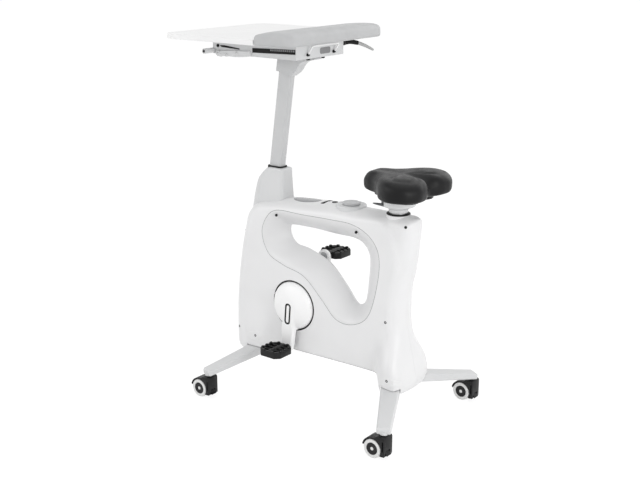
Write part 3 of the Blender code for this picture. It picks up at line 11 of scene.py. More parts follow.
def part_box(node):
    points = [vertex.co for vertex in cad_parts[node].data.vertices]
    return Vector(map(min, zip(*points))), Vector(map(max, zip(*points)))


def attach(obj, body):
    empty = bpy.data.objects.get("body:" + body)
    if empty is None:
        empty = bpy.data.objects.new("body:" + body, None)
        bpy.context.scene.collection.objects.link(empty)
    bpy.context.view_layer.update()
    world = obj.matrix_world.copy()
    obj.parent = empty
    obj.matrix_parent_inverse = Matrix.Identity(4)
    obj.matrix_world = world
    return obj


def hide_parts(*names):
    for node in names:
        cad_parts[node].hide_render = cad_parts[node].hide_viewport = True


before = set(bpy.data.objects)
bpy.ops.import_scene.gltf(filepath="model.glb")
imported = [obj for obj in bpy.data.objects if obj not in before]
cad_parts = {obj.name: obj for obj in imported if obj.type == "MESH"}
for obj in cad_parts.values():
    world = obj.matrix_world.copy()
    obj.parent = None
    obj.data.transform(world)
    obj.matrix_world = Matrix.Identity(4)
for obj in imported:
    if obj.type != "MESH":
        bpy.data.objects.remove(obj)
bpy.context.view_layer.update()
scene = bpy.context.scene

# Camera, at the photograph's viewing angle
CAMERA_PLACE = (1.967, -2.545, 1.466)
CAMERA_AZIMUTH = math.radians(37.79)
CAMERA_DOWN = math.radians(16.28)
CAMERA_LENS = 59.2


def make_camera():
    camera = bpy.data.objects.new("camera", bpy.data.cameras.new("camera"))
    scene.collection.objects.link(camera)
    camera.location = CAMERA_PLACE
    camera.rotation_euler = (math.radians(90) - CAMERA_DOWN, 0.0, CAMERA_AZIMUTH)
    camera.data.lens = CAMERA_LENS
    camera.data.sensor_width = 36.0
    scene.camera = camera


# Materials
class Surface:
    """A procedural material: its shader, and short ways to add texture to it."""

    def __init__(self, name, colour, roughness, metallic=0.0, specular=0.5):
        self.material = bpy.data.materials.new(name)
        self.material.use_nodes = True
        self.tree = self.material.node_tree
        self.shader = self.tree.nodes["Principled BSDF"]
        self.colour = colour
        self.set("Base Color", (*colour, 1.0))
        self.set("Roughness", roughness)
        self.set("Metallic", metallic)
        self.set("Specular IOR Level", specular)
        self.place = self.node("ShaderNodeTexCoord").outputs["Object"]
        self.normal = None

    def set(self, socket, value):
        self.shader.inputs[socket].default_value = value

    def node(self, kind, **values):
        """A node with some of its settings and inputs given; an output of another node is linked in."""
        made = self.tree.nodes.new(kind)
        for name, value in values.items():
            socket = name.replace("_", " ")
            if hasattr(made, name):
                setattr(made, name, value)
            elif isinstance(value, bpy.types.NodeSocket):
                self.link(value, made.inputs[socket])
            else:
                made.inputs[socket].default_value = value
        return made

    def link(self, source, target):
        self.tree.links.new(source, target)

    def noise(self, scale, detail=3.0, stretch=(1.0, 1.0, 1.0)):
        """A noise pattern's value, with so many features to the metre."""
        size = self.node("ShaderNodeMapping", Scale=stretch, Vector=self.place)
        made = self.node("ShaderNodeTexNoise", Scale=scale, Detail=detail, Vector=size.outputs["Vector"])
        return made.outputs["Fac"]

    def cells(self, scale):
        """The distance to the nearest of so many cell middles to the metre."""
        return self.node("ShaderNodeTexVoronoi", Scale=scale, Vector=self.place).outputs["Distance"]

    def remap(self, value, low, high, first=0.3, last=0.7):
        """The pattern's range from first to last, spread from low to high."""
        span = {"From_Min": first, "From_Max": last, "To_Min": low, "To_Max": high}
        return self.node("ShaderNodeMapRange", Value=value, **span).outputs["Result"]

    def tint(self, pattern, darker):
        """Vary the colour a little with a pattern, from a darker share of it to itself."""
        made = self.node("ShaderNodeMix", data_type="RGBA")
        self.link(pattern, made.inputs[0])
        made.inputs[6].default_value = (*(c * darker for c in self.colour), 1.0)
        made.inputs[7].default_value = (*self.colour, 1.0)
        self.link(made.outputs[2], self.shader.inputs["Base Color"])

    def rough(self, pattern, low, high):
        self.link(self.remap(pattern, low, high), self.shader.inputs["Roughness"])

    def bump(self, pattern, depth):
        """Raise the surface with a pattern, by a depth in metres."""
        made = self.node("ShaderNodeBump", Distance=depth, Strength=1.0, Height=pattern)
        if self.normal:
            self.link(self.normal, made.inputs["Normal"])
        self.normal = made.outputs["Normal"]
        self.link(self.normal, self.shader.inputs["Normal"])


def moulded(name, colour, roughness, grain=900, depth=0.00002, specular=0.5):
    """Moulded plastic: a fine eroded grain, with faint flow marks in its colour and gloss."""
    made = Surface(name, colour, roughness, specular=specular)
    made.tint(made.remap(made.noise(9, 4), 0.0, 1.0), 0.97)
    made.rough(made.noise(26, 4), roughness - 0.05, roughness + 0.05)
    made.bump(made.noise(grain, 2), depth)
    return made


def painted(name, colour, roughness):
    """Powder coat on steel: a soft orange peel under a thin gloss."""
    made = Surface(name, colour, roughness)
    made.set("Coat Weight", 0.25)
    made.set("Coat Roughness", 0.25)
    made.tint(made.remap(made.noise(14, 4), 0.0, 1.0), 0.97)
    made.bump(made.noise(420, 1), 0.00004)
    return made


def vinyl(name, colour, roughness, depth, specular=0.30):
    """Grained vinyl over foam: pebbles with creases between them, and a soft sheen."""
    made = Surface(name, colour, roughness, specular=specular)
    made.set("Sheen Weight", 0.02)
    made.set("Sheen Roughness", 0.4)
    made.tint(made.remap(made.noise(22, 5), 0.0, 1.0), 0.93)
    made.rough(made.noise(60, 4), roughness - 0.06, roughness + 0.08)
    made.bump(made.remap(made.cells(700), 0.0, 1.0, 0.0, 0.6), depth)
    made.bump(made.noise(1500, 2), depth * 0.4)
    return made


def brushed(name, colour, roughness, stretch):
    """Bright metal with fine brush lines in one direction."""
    made = Surface(name, colour, roughness, metallic=1.0)
    lines = made.noise(900, 3, stretch)
    made.rough(lines, roughness - 0.08, roughness + 0.12)
    made.bump(lines, 0.00001)
    return made


WHITE = (0.80, 0.80, 0.805)
casing_white = moulded("casing_white", WHITE, 0.38)
cover_white = moulded("cover_white", (0.93, 0.93, 0.93), 0.38)
trim_white = moulded("trim_white", (0.74, 0.74, 0.745), 0.40)
neck_grey = moulded("neck_grey", (0.66, 0.665, 0.67), 0.38)
mast_paint = painted("mast_paint", (0.56, 0.565, 0.57), 0.36)
frame_paint = painted("frame_paint", (0.66, 0.665, 0.67), 0.38)
desk_white = moulded("desk_white", (0.86, 0.86, 0.86), 0.42, 600, 0.000015)
pad_vinyl = vinyl("pad_vinyl", (0.52, 0.525, 0.53), 0.55, 0.00004)
saddle_vinyl = vinyl("saddle_vinyl", (0.0065, 0.0065, 0.0070), 0.42, 0.00008, 0.20)
black_plastic = moulded("black_plastic", (0.0060, 0.0060, 0.0064), 0.42, 700, 0.00004, 0.28)
grey_plastic = moulded("grey_plastic", (0.20, 0.205, 0.21), 0.42, 700, 0.00003)
black_rubber = moulded("black_rubber", (0.0050, 0.0050, 0.0050), 0.60, 500, 0.00005, 0.22)
# Mid grey: the rack ribs' own colour, and painted shade in the trim seams, along the casing's lower edge and
# on the tray's back
shade_and_rib_grey = moulded("shade_and_rib_grey", (0.24, 0.24, 0.245), 0.60, 500, 0.00003)
grip_grey = moulded("grip_grey", (0.42, 0.42, 0.42), 0.35, 700, 0.00002)
bright_wire = painted("bright_wire", (0.88, 0.88, 0.88), 0.25)
lever_grey = moulded("lever_grey", (0.16, 0.165, 0.17), 0.42, 700, 0.00003)
knob_grey = moulded("knob_grey", (0.50, 0.505, 0.51), 0.40, 700, 0.00003)
wheel_grey = moulded("wheel_grey", (0.76, 0.76, 0.755), 0.50, 500, 0.00003)
display_grey = moulded("display_grey", (0.26, 0.265, 0.275), 0.18, 900, 0.000005)
steel = brushed("steel", (0.60, 0.61, 0.62), 0.30, (1.0, 1.0, 0.05))
cast_iron = moulded("cast_iron", (0.10, 0.10, 0.105), 0.55, 300, 0.00010)
spring_black = painted("spring_black", (0.02, 0.02, 0.02), 0.25)

SIDES = (("left", -1), ("right", 1))
CORNERS = [end + "_" + hand for end in ("front", "rear") for hand, _ in SIDES]
FINISHES = {
    mast_paint: ("mast_tube", "mast_head"),
    frame_paint: ("main_frame", "slide_tray", "desk_slide_frame", *(corner + "_leg" for corner in CORNERS)),
    desk_white: ("desk_board",),
    black_plastic: ("saddle_base", "mode_button", *(corner + "_caster_brake_tab" for corner in CORNERS)),
    grey_plastic: ("drive_pulley",),
    black_rubber: ("mast_collar", "drive_belt"),
    steel: ("crank_axle", "crank_cartridge", "left_crank_arm", "right_crank_arm", "left_pedal_spindle",
            "right_pedal_spindle", "flywheel_axle", "mast_gas_rod", "seat_gas_rod", "magnet_bracket",
            "seat_post"),
    cast_iron: ("flywheel",),
    spring_black: ("mast_gas_cylinder", "seat_gas_cylinder"),
}


def dress_nodes():
    """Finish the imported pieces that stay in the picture."""
    for surface, nodes in FINISHES.items():
        for node in nodes:
            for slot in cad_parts[node].material_slots:
                slot.material = surface.material


# Making pieces
UP = (0, 0, 1)
ACROSS = (0, 1, 0)
HALVINGS = 26


def smoothstep(t):
    t = max(0.0, min(1.0, t))
    return t * t * (3 - 2 * t)


def fade(value, low, high):
    """0 below the low value, 1 above the high one, and smooth between."""
    return smoothstep((value - low) / (high - low))


def mix(a, b, t):
    return a + (b - a) * t


def curve_value(points, t):
    """Smooth reading of a table of (position, value) points, flat beyond its ends."""
    if t <= points[0][0]:
        return points[0][1]
    if t >= points[-1][0]:
        return points[-1][1]
    i = max(k for k, point in enumerate(points[:-1]) if point[0] <= t)
    (t0, v0), (t1, v1) = points[i], points[i + 1]
    before = points[max(i - 1, 0)]
    after = points[min(i + 2, len(points) - 1)]
    slope0 = (v1 - before[1]) / (t1 - before[0])
    slope1 = (after[1] - v0) / (after[0] - t0)
    s = (t - t0) / (t1 - t0)
    span = t1 - t0
    return ((2 * s ** 3 - 3 * s * s + 1) * v0 + (s ** 3 - 2 * s * s + s) * span * slope0
            + (3 * s * s - 2 * s ** 3) * v1 + (s ** 3 - s * s) * span * slope1)


def closed_curve(points, per_span=8):
    """Points on a smooth closed curve through the given ones."""
    count = len(points)
    fine = []
    for i in range(count):
        p0, p1, p2, p3 = (Vector(points[(i + k) % count]) for k in (-1, 0, 1, 2))
        for step in range(per_span):
            t = step / per_span
            fine.append(0.5 * (2 * p1 + (p2 - p0) * t + (2 * p0 - 5 * p1 + 4 * p2 - p3) * t * t
                               + (3 * p1 - p0 - 3 * p2 + p3) * t ** 3))
    return fine


def widened(loop, grow):
    """A closed outline, moved outwards by a margin."""
    moved = []
    for i, point in enumerate(loop):
        tangent = (Vector(loop[(i + 1) % len(loop)]) - Vector(loop[i - 1])).normalized()
        moved.append(Vector(point) + Vector((-tangent.y, tangent.x)) * grow)
    return moved


def arc(x, y, wide, tall, start, stop, steps):
    """Places on an ellipse from one angle to another, in degrees."""
    turns = [math.radians(mix(start, stop, k / steps)) for k in range(steps + 1)]
    return [(x + wide * math.cos(a), y + tall * math.sin(a)) for a in turns]


def ellipse(x, y, wide, tall, count):
    return arc(x, y, wide, tall, 0, 360, count)[:-1]


def circle(x, y, radius, count):
    return ellipse(x, y, radius, radius, count)


def round_bar(low, high, radius, steps):
    """The outline of a bar along x with round ends, between the middles of its ends."""
    return arc(high, 0.0, radius, radius, -90, 90, steps) + arc(low, 0.0, radius, radius, 90, 270, steps)


def rounded_box(low_x, high_x, half, low_corner, high_corner, steps):
    """A box's outline with rounded corners, of one radius at its low x and of another at its high x."""
    low, high = (low_x + low_corner, low_corner), (high_x - high_corner, high_corner)
    ring = []
    for start, (x, corner), flank in ((0, high, 1), (90, low, 1), (180, low, -1), (270, high, -1)):
        ring += arc(x, flank * (half - corner), corner, corner, start, start + 90, steps)
    return ring


def furthest(low, high, inside):
    """The highest place that is still inside, by halving the span between a low place and a high one."""
    for _ in range(HALVINGS):
        middle = (low + high) / 2
        if inside(middle):
            low = middle
        else:
            high = middle
    return low


def skin(rows, ends="closed"):
    """A surface through rings of places or single points. Open ends stay so, or are filled, cut or joined."""
    shape = bmesh.new()
    rings = [[shape.verts.new(place) for place in row] for row in rows]
    pairs = list(zip(rings, rings[1:]))
    if ends == "joined":
        pairs.append((rings[-1], rings[0]))
    for lower, upper in pairs:
        steps = max(len(lower), len(upper))
        for i in range(steps):
            k = (i + 1) % steps
            corners = [ring[c % len(ring)] for ring, c in ((lower, i), (lower, k), (upper, k), (upper, i))]
            shape.faces.new(list(dict.fromkeys(corners)))
    if ends in ("filled", "cut"):
        caps = [shape.faces.new(ring) for ring in (rings[0], rings[-1])]
        if ends == "cut":
            bmesh.ops.triangulate(shape, faces=caps)
    if ends != "open":
        bmesh.ops.recalc_face_normals(shape, faces=shape.faces)
    return shape


def smooth(mesh, angle=40):
    """Shade a mesh smooth but for its sharp edges."""
    mesh.shade_smooth()
    mesh.set_sharp_from_angle(angle=math.radians(angle))


def link_piece(name, mesh, body=None, slot=None):
    """An object of a mesh, that may ride on a body; its slot argument is not used."""
    made = bpy.data.objects.new(name, mesh)
    scene.collection.objects.link(made)
    if body:
        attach(made, body)
    return made


def add_piece(name, shape, surface=None, body=None, angle=40, slot=None):
    """An object of the faces of a bmesh."""
    mesh = bpy.data.meshes.new(name)
    shape.to_mesh(mesh)
    shape.free()
    smooth(mesh, angle)
    if surface:
        mesh.materials.append(surface.material)
    return link_piece(name, mesh, body, slot)


def coat(made, surface):
    made.data.materials.clear()
    made.data.materials.append(surface.material)


def apply_steps(made):
    """Work the modifiers into the mesh."""
    bpy.context.view_layer.update()
    mesh = bpy.data.meshes.new_from_object(made.evaluated_get(bpy.context.evaluated_depsgraph_get()))
    made.modifiers.clear()
    made.data = mesh
    smooth(mesh)
    return made


def drop(*pieces):
    for piece in pieces:
        bpy.data.objects.remove(piece, do_unlink=True)


def prism(name, outline, direction, low, high, surface=None, body=None, slot=None):
    """A flat piece: an outline in the plane square to x, y or z, between two distances along it."""
    place = {"x": lambda p, h: (h, p[0], p[1]), "y": lambda p, h: (p[0], h, p[1]),
             "z": lambda p, h: (p[0], p[1], h)}[direction]
    rows = [[place(point, height) for point in outline] for height in (low, high)]
    return add_piece(name, skin(rows, "filled"), surface, body, slot=slot)


def turned(name, profile, origin, direction, surface=None, body=None, steps=48, angle=40, slot=None):
    """A turned piece: its (radius, height) points run from one end of its axis to the other, or in a loop."""
    looped = profile[0] == profile[-1]
    rows = [[(x, y, height) for x, y in circle(0.0, 0.0, radius, steps if radius else 1)]
            for radius, height in (profile[1:] if looped else profile)]
    shape = skin(rows, "joined" if looped else "closed")
    turn = Vector(direction).to_track_quat("Z", "Y").to_matrix().to_4x4()
    bmesh.ops.transform(shape, matrix=Matrix.Translation(origin) @ turn, verts=shape.verts)
    return add_piece(name, shape, surface, body, angle, slot)


def tube(name, route, radii, surface, body, sides=12, up=UP, slot=None):
    """A round tube along a route of points, with a radius at each of them and closed ends."""
    points = [Vector(point) for point in route]
    rows = []
    for i, (point, radius) in enumerate(zip(points, radii)):
        heading = (points[min(i + 1, len(points) - 1)] - points[max(i - 1, 0)]).normalized()
        aside = heading.cross(Vector(up)).normalized()
        rise = aside.cross(heading)
        rows.append([point + aside * a + rise * b for a, b in circle(0.0, 0.0, radius, sides)])
    return add_piece(name, skin(rows, "filled"), surface, body, slot=slot)


def copied(name, made, body, place=(0.0, 0.0, 0.0), flip=False, slot=None):
    """A copy of a piece, or its image across the middle plane, moved to a place."""
    mesh = made.data.copy()
    if flip:
        mesh.transform(Matrix.Scale(-1.0, 4, ACROSS))
        mesh.flip_normals()
    mesh.transform(Matrix.Translation(place))
    return link_piece(name, mesh, body, slot)


def box_shape(place):
    """A closed box, whose corners are placed by a function of their three signs."""
    shape = bmesh.new()
    bmesh.ops.create_cube(shape, size=2.0)
    for vert in shape.verts:
        vert.co = place(*(round(c) for c in vert.co))
    shape.normal_update()
    bmesh.ops.recalc_face_normals(shape, faces=shape.faces)
    return shape


def block(name, low, high, surface=None):
    """A block between two corners."""
    spans = [sorted(ends) for ends in zip(low, high)]
    shape = box_shape(lambda *signs: [span[sign > 0] for span, sign in zip(spans, signs)])
    return add_piece(name, shape, surface)


def soften(made, width, segments=2, angle=35):
    """Round the edges that are sharper than an angle."""
    step = made.modifiers.new("broken edges", "BEVEL")
    step.width = width
    step.segments = segments
    step.limit_method = "ANGLE"
    step.angle_limit = math.radians(angle)
    return apply_steps(made)


def combine(target, tools, operation):
    for tool in tools:
        step = target.modifiers.new(tool.name, "BOOLEAN")
        step.operation = operation
        step.object = tool
        step.use_self = "notch" in tool.name
    apply_steps(target)
    drop(*tools)
    return target


def cut(target, *tools):
    return combine(target, tools, "DIFFERENCE")


def join(target, *tools):
    return combine(target, tools, "UNION")


# Casing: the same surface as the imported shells, drawn finely
SEAM = 0.00015
CASING_WALL = 0.003
WALL_FULL = 0.030         # the wall thins out nearer to the middle plane than this
WALL_LEAST = 0.15         # the share of it that is left there
WIDTH_BASE = 0.056
WIDTH_MIDDLE = 0.012      # and what is added to it round a place in the middle
MIDDLE_PLACE = -0.040
MIDDLE_REACH = 0.190
BOOTS = ((-0.228, 0.020), (0.332, 0.040))     # the place and extra width of each pair
BOOT_REACH = 0.060
BOOT_HEIGHTS = (0.180, 0.300)                 # the extra width fades out between these
WIDTH_COLUMN = 0.048
COLUMN_EDGE = 0.008                           # half the step from the casing to the seat column
COLUMN_HEIGHTS = (0.470, 0.505)               # the column fades in between these
ROUND_FRONT = 0.040
ROUND_REAR = 0.040
ROUND_REAR_LOW = 0.022
REAR_HEIGHTS = (0.150, 0.300)                 # the rear edge's radius grows between these
ROUND_TOP = 0.030
ROUND_BOTTOM = 0.010
FRONT_LINE = [(0.104, -0.322), (0.109, -0.331), (0.122, -0.338), (0.166, -0.340), (0.261, -0.338),
              (0.334, -0.332), (0.444, -0.316), (0.545, -0.293), (0.575, -0.284), (0.598, -0.274),
              (0.612, -0.268)]
REAR_LINE = [(0.104, 0.336), (0.108, 0.350), (0.120, 0.361), (0.151, 0.366), (0.207, 0.356),
             (0.275, 0.340), (0.337, 0.331), (0.434, 0.335), (0.500, 0.351), (0.594, 0.362),
             (0.640, 0.366), (0.662, 0.366)]
TOP_LINE = [(-0.290, 0.594), (-0.270, 0.606), (-0.227, 0.628), (-0.171, 0.640), (-0.121, 0.647),
            (0.000, 0.655), (0.080, 0.660), (0.170, 0.658), (0.240, 0.660), (0.330, 0.661),
            (0.352, 0.659), (0.370, 0.654)]
BOTTOM_LINE = [(-0.345, 0.104), (-0.215, 0.104), (-0.196, 0.108), (-0.165, 0.146), (-0.140, 0.152),
               (0.240, 0.152), (0.268, 0.146), (0.296, 0.108), (0.310, 0.104), (0.370, 0.104)]
COLUMN_LINE = [(0.161, 0.656), (0.245, 0.652), (0.282, 0.633), (0.307, 0.595), (0.323, 0.536),
               (0.327, 0.505)]
COLUMN_BY_HEIGHT = sorted((height, place) for place, height in COLUMN_LINE)
TRIM_OUTER = [(-0.132, 0.617), (-0.020, 0.620), (0.080, 0.621), (0.166, 0.617), (0.230, 0.586),
              (0.261, 0.530), (0.255, 0.438), (0.224, 0.336), (0.168, 0.296), (0.105, 0.300),
              (0.048, 0.358), (-0.020, 0.419), (-0.100, 0.439), (-0.166, 0.465), (-0.196, 0.525),
              (-0.180, 0.580)]
TRIM_INNER = [(-0.112, 0.559), (-0.030, 0.561), (0.060, 0.558), (0.130, 0.557), (0.168, 0.542),
              (0.189, 0.505), (0.187, 0.440), (0.178, 0.368), (0.160, 0.346), (0.135, 0.353),
              (0.104, 0.391), (0.040, 0.455), (-0.040, 0.489), (-0.100, 0.498), (-0.124, 0.520),
              (-0.124, 0.550)]
TRIM_DEPTH_POWER = 1.6
TRIM_LAND = 0.07
TRIM_GAP = 0.0004
EDGE_STEPS = 8
COLUMNS = 84
ROWS = 64
DISC_CENTRE = (-0.063, 0.311)
DISC_HOLE = 0.081
SEAT_PLACE = 0.290
SEAT_HOLE = 0.0305
BUTTON_PLACE = 0.053
BUTTON_HOLE = 0.0094
MAST_ROOM = (0.012, 0.002, 0.020)             # in front of the mast's collar, behind it and to each side


def casing_width(x, z):
    """Half-width of the casing away from its rounded edges."""
    width = WIDTH_BASE + WIDTH_MIDDLE * math.exp(-((x - MIDDLE_PLACE) / MIDDLE_REACH) ** 2)
    low = 1.0 - fade(z, *BOOT_HEIGHTS)
    for boot_x, boot_width in BOOTS:
        width += boot_width * math.exp(-((x - boot_x) / BOOT_REACH) ** 4) * low
    column = fade(x - curve_value(COLUMN_BY_HEIGHT, z), -COLUMN_EDGE, COLUMN_EDGE)
    return mix(width, WIDTH_COLUMN, column * fade(z, *COLUMN_HEIGHTS))


def rounded(distance, radius):
    inward = max(0.0, 1.0 - max(distance, 0.0) / radius)
    return math.sqrt(1.0 - inward * inward)


def casing_side(x, z):
    """The casing's distance from the middle plane at any place on its side."""
    share = rounded(x - curve_value(FRONT_LINE, z), ROUND_FRONT)
    rear_radius = mix(ROUND_REAR_LOW, ROUND_REAR, fade(z, *REAR_HEIGHTS))
    share *= rounded(curve_value(REAR_LINE, z) - x, rear_radius)
    share *= rounded(curve_value(TOP_LINE, x) - z, ROUND_TOP)
    share *= rounded(z - curve_value(BOTTOM_LINE, x), ROUND_BOTTOM)
    return casing_width(x, z) * share


def beside(x, z, side, lift):
    """A place on one side of the casing, raised a little off it."""
    return x, side * (casing_side(x, z) + lift), z


def spread(low, high, first, last, count):
    """Places from low to high: a rounded edge, even steps, and a rounded edge."""
    turns = [1 - math.cos(math.radians(90 * k / EDGE_STEPS)) for k in range(EDGE_STEPS + 1)]
    start = [low + first * turn for turn in turns]
    end = [high - last * turn for turn in reversed(turns)]
    return start + [mix(start[-1], end[0], k / count) for k in range(1, count)] + end


def casing_grid():
    """The right-hand side of the casing as rows of points."""
    last_column, last_row = 2 * EDGE_STEPS + COLUMNS, 2 * EDGE_STEPS + ROWS
    rows = []
    for row in range(last_row + 1):
        line = []
        z = 0.1 + 0.55 * row / last_row
        for column in range(last_column + 1):
            for _ in range(5):          # x depends on z and z on x, so both are drawn closer by turns
                x = spread(curve_value(FRONT_LINE, z), curve_value(REAR_LINE, z), ROUND_FRONT, ROUND_REAR,
                           COLUMNS)[column]
                z = spread(curve_value(BOTTOM_LINE, x), curve_value(TOP_LINE, x), ROUND_BOTTOM, ROUND_TOP,
                           ROWS)[row]
            rim = column in (0, last_column) or row in (0, last_row)
            line.append((x, SEAM if rim else casing_side(x, z), z))
        rows.append(line)
    return rows


LEG_ROOT_SIDE = 0.090
LEG_ROOT = (0.058, 0.132, 0.025)              # the leg's width, top and thickness at its root
LEG_END = (0.043, 0.098, 0.020)               # and at its end
LEG_PAST_STEM = 0.0105
NOTCH_MARGIN = 0.0024
NOTCH_DROP = 0.030
NOTCH_START = 0.036
STEM_SIDE = 0.252
STEMS = {"front": -0.270, "rear": 0.422}
LEG_ROOTS = {"front": BOOTS[0][0], "rear": BOOTS[1][0]}


def leg_notch(end):
    """The room for the right-hand leg at one end of the casing."""
    root = Vector((LEG_ROOTS[end], LEG_ROOT_SIDE))
    stem = Vector((STEMS[end], STEM_SIDE))
    heading = (stem - root).normalized()
    square = Vector((-heading.y, heading.x))
    tip = stem + heading * LEG_PAST_STEM

    def place(along, flank, rise):
        near = root + square * flank * (LEG_ROOT[0] / 2 + NOTCH_MARGIN)
        far = tip + square * flank * (LEG_END[0] / 2 + NOTCH_MARGIN)
        share = (NOTCH_START - near.y) / (far.y - near.y) if along < 0 else 1.0
        _, top, thick = (mix(a, b, share) for a, b in zip(LEG_ROOT, LEG_END))
        return *near.lerp(far, share), top + NOTCH_MARGIN if rise > 0 else top - thick - NOTCH_DROP

    return add_piece(end + " notch", box_shape(place))


def give_wall(shape, thickness, half=True):
    """Turn an open surface into a closed wall, inwards from it. A half keeps to its side of the middle."""
    bmesh.ops.triangulate(shape, faces=shape.faces, quad_method="FIXED")
    shape.normal_update()
    outer = list(shape.faces)
    rim = [edge for edge in shape.edges if edge.is_boundary]
    inner = {}
    for vert in list(shape.verts):
        thin = max(WALL_LEAST, min(1.0, vert.co.y / WALL_FULL)) if half else 1.0
        place = vert.co - vert.normal * thickness * thin
        inner[vert] = shape.verts.new((place.x, max(place.y, SEAM) if half else place.y, place.z))
    for face in outer:
        shape.faces.new([inner[vert] for vert in reversed(face.verts)])
    for edge in rim:
        loop = edge.link_loops[0]
        start, end = loop.vert, loop.link_loop_next.vert
        shape.faces.new((end, start, inner[start], inner[end]))


def make_shells():
    """Both halves of the casing, with their openings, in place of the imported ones."""
    shape = bmesh.new()
    grid = [[shape.verts.new(place) for place in line] for line in casing_grid()]
    for lower, upper in zip(grid, grid[1:]):
        for i in range(len(lower) - 1):
            shape.faces.new((lower[i], upper[i], upper[i + 1], lower[i + 1]))
    give_wall(shape, CASING_WALL)
    shell = add_piece("right_casing", shape, casing_white)
    low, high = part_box("mast_collar")
    front, behind, flank = MAST_ROOM
    # each tool reaches well past the wall that it cuts
    cut(shell, prism("opening", widened(closed_curve(TRIM_OUTER), TRIM_GAP), "y", -0.15, 0.15),
        prism("disc", circle(*DISC_CENTRE, DISC_HOLE, 96), "y", 0.04, 0.12),
        prism("seat", circle(SEAT_PLACE, 0.0, SEAT_HOLE, 64), "z", 0.60, 0.70),
        prism("button", circle(BUTTON_PLACE, 0.0, BUTTON_HOLE, 48), "z", 0.64, 0.70),
        block("mast", (low.x - front, -flank, 0.56), (high.x + behind, flank, 0.70)),
        leg_notch("front"), leg_notch("rear"))
    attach(shell, "base")
    left = copied("left_casing", shell, "base", flip=True)
    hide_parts("right_shell")
    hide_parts("left_shell")


def make_trims():
    """The funnels that line the see-through opening."""
    shares = [0.0, 0.004, 0.012, 0.03] + [mix(TRIM_LAND, 1.0, k / 20) for k in range(21)]
    rows = []
    for share in shares:
        depth = 1.0 - max(0.0, (share - TRIM_LAND / 2) / (1 - TRIM_LAND / 2)) ** TRIM_DEPTH_POWER
        row = []
        for edge, hole in zip(closed_curve(TRIM_OUTER), closed_curve(TRIM_INNER)):
            x, z = edge.lerp(hole, share)
            row.append((x, max(casing_side(*edge) * depth, SEAM), z))
        rows.append(row)
    shape = skin(rows, "open")
    give_wall(shape, CASING_WALL)
    trim = add_piece("right_trim", shape, trim_white, "base")
    left = copied("left_trim", trim, "base", flip=True)
    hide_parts("right_opening_trim")
    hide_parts("left_opening_trim")


# Saddle and wrist pad, soft forms
SADDLE_OUTLINE = [(0.171, 0.000), (0.178, 0.023), (0.200, 0.038), (0.231, 0.052), (0.264, 0.081),
                  (0.300, 0.122), (0.345, 0.143), (0.392, 0.128), (0.416, 0.090), (0.417, 0.058),
                  (0.411, 0.034), (0.401, 0.016), (0.396, 0.000)]
SADDLE_MIDDLE = Vector((0.300, 0.0))
SADDLE_PROFILE = [(0.12, 1.0), (0.25, 1.0), (0.38, 1.0), (0.50, 0.998), (0.59, 0.995), (0.67, 0.990),
                  (0.74, 0.980), (0.80, 0.962), (0.85, 0.935), (0.895, 0.890), (0.93, 0.835),
                  (0.96, 0.765), (0.982, 0.685), (0.995, 0.595), (1.0, 0.50), (1.0, 0.36), (0.997, 0.25),
                  (0.990, 0.165), (0.975, 0.10), (0.95, 0.055), (0.90, 0.02), (0.82, 0.0), (0.50, 0.0)]
SADDLE_NOSE = (0.216, 0.045, 0.0130)        # it rounds down in front of this place, over this span, so deep
SADDLE_GROOVE = (0.019, 0.0020, 0.0150)     # its width, its depth, and what is added to that at the back
SADDLE_BACK = (0.300, 0.395)                # the groove deepens between these places
SADDLE_LOBES = (0.352, 0.068, 0.034)        # the places of the raised pads, and their radius
LOBE_RISE = 0.0024
LOBE_RIM = 0.0016                           # depth of the line round them
SADDLE_TAIL = (0.372, 0.412, 0.0040)        # the top falls between these places, by so much
SADDLE_DIP = (0.262, 0.045, 0.0016)         # the shallow hollow across the middle
SADDLE_SINK = 0.0010      # the crown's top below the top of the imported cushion
PAD_CORNER_BACK = 0.028
PAD_CORNER_BOARD = 0.008
PAD_RINGS = [(0.008, 0.00), (0.004, 0.025), (0.0015, 0.075), (0.0003, 0.15), (0.000, 0.25), (0.000, 0.66),
             (0.0005, 0.74), (0.0016, 0.82), (0.0035, 0.895), (0.0062, 0.946), (0.0100, 0.976),
             (0.0150, 0.991), (0.023, 0.998), (0.036, 1.0), (0.054, 1.0)]
PAD_PEAK = 0.026          # place of the pad's highest line, behind the middle
PAD_CROWN = 0.0045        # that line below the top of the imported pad
PAD_FALLS = ((0.095, 0.0090), (0.039, 0.0070), (0.076, 0.0040))   # span and fall: board side, back and ends
PAD_LEVEL = 0.160         # the pad falls towards its ends beyond this distance from the middle
PAD_STEP = 0.012


def saddle_relief(x, y):
    """Height of the saddle's top over or under its crown, in metres: nose, groove and the two raised pads."""
    nose_x, nose_span, nose_fall = SADDLE_NOSE
    width, depth, deeper = SADDLE_GROOVE
    lobe_x, lobe_y, radius = SADDLE_LOBES
    dip_x, dip_span, dip_depth = SADDLE_DIP
    nose = nose_fall * (max(0.0, (nose_x - x) / nose_span)) ** 2
    groove = math.exp(-(y / width) ** 2) * (depth + deeper * fade(x, *SADDLE_BACK))
    reach = math.hypot((x - lobe_x) / radius, (abs(y) - lobe_y) / radius)
    lobe = LOBE_RISE * smoothstep((1.05 - reach) / 0.30) - LOBE_RIM * math.exp(-((reach - 1.12) / 0.13) ** 2)
    tail = SADDLE_TAIL[2] * fade(x, *SADDLE_TAIL[:2])
    dip = dip_depth * math.exp(-((x - dip_x) / dip_span) ** 2)
    return lobe - nose - groove - dip - tail


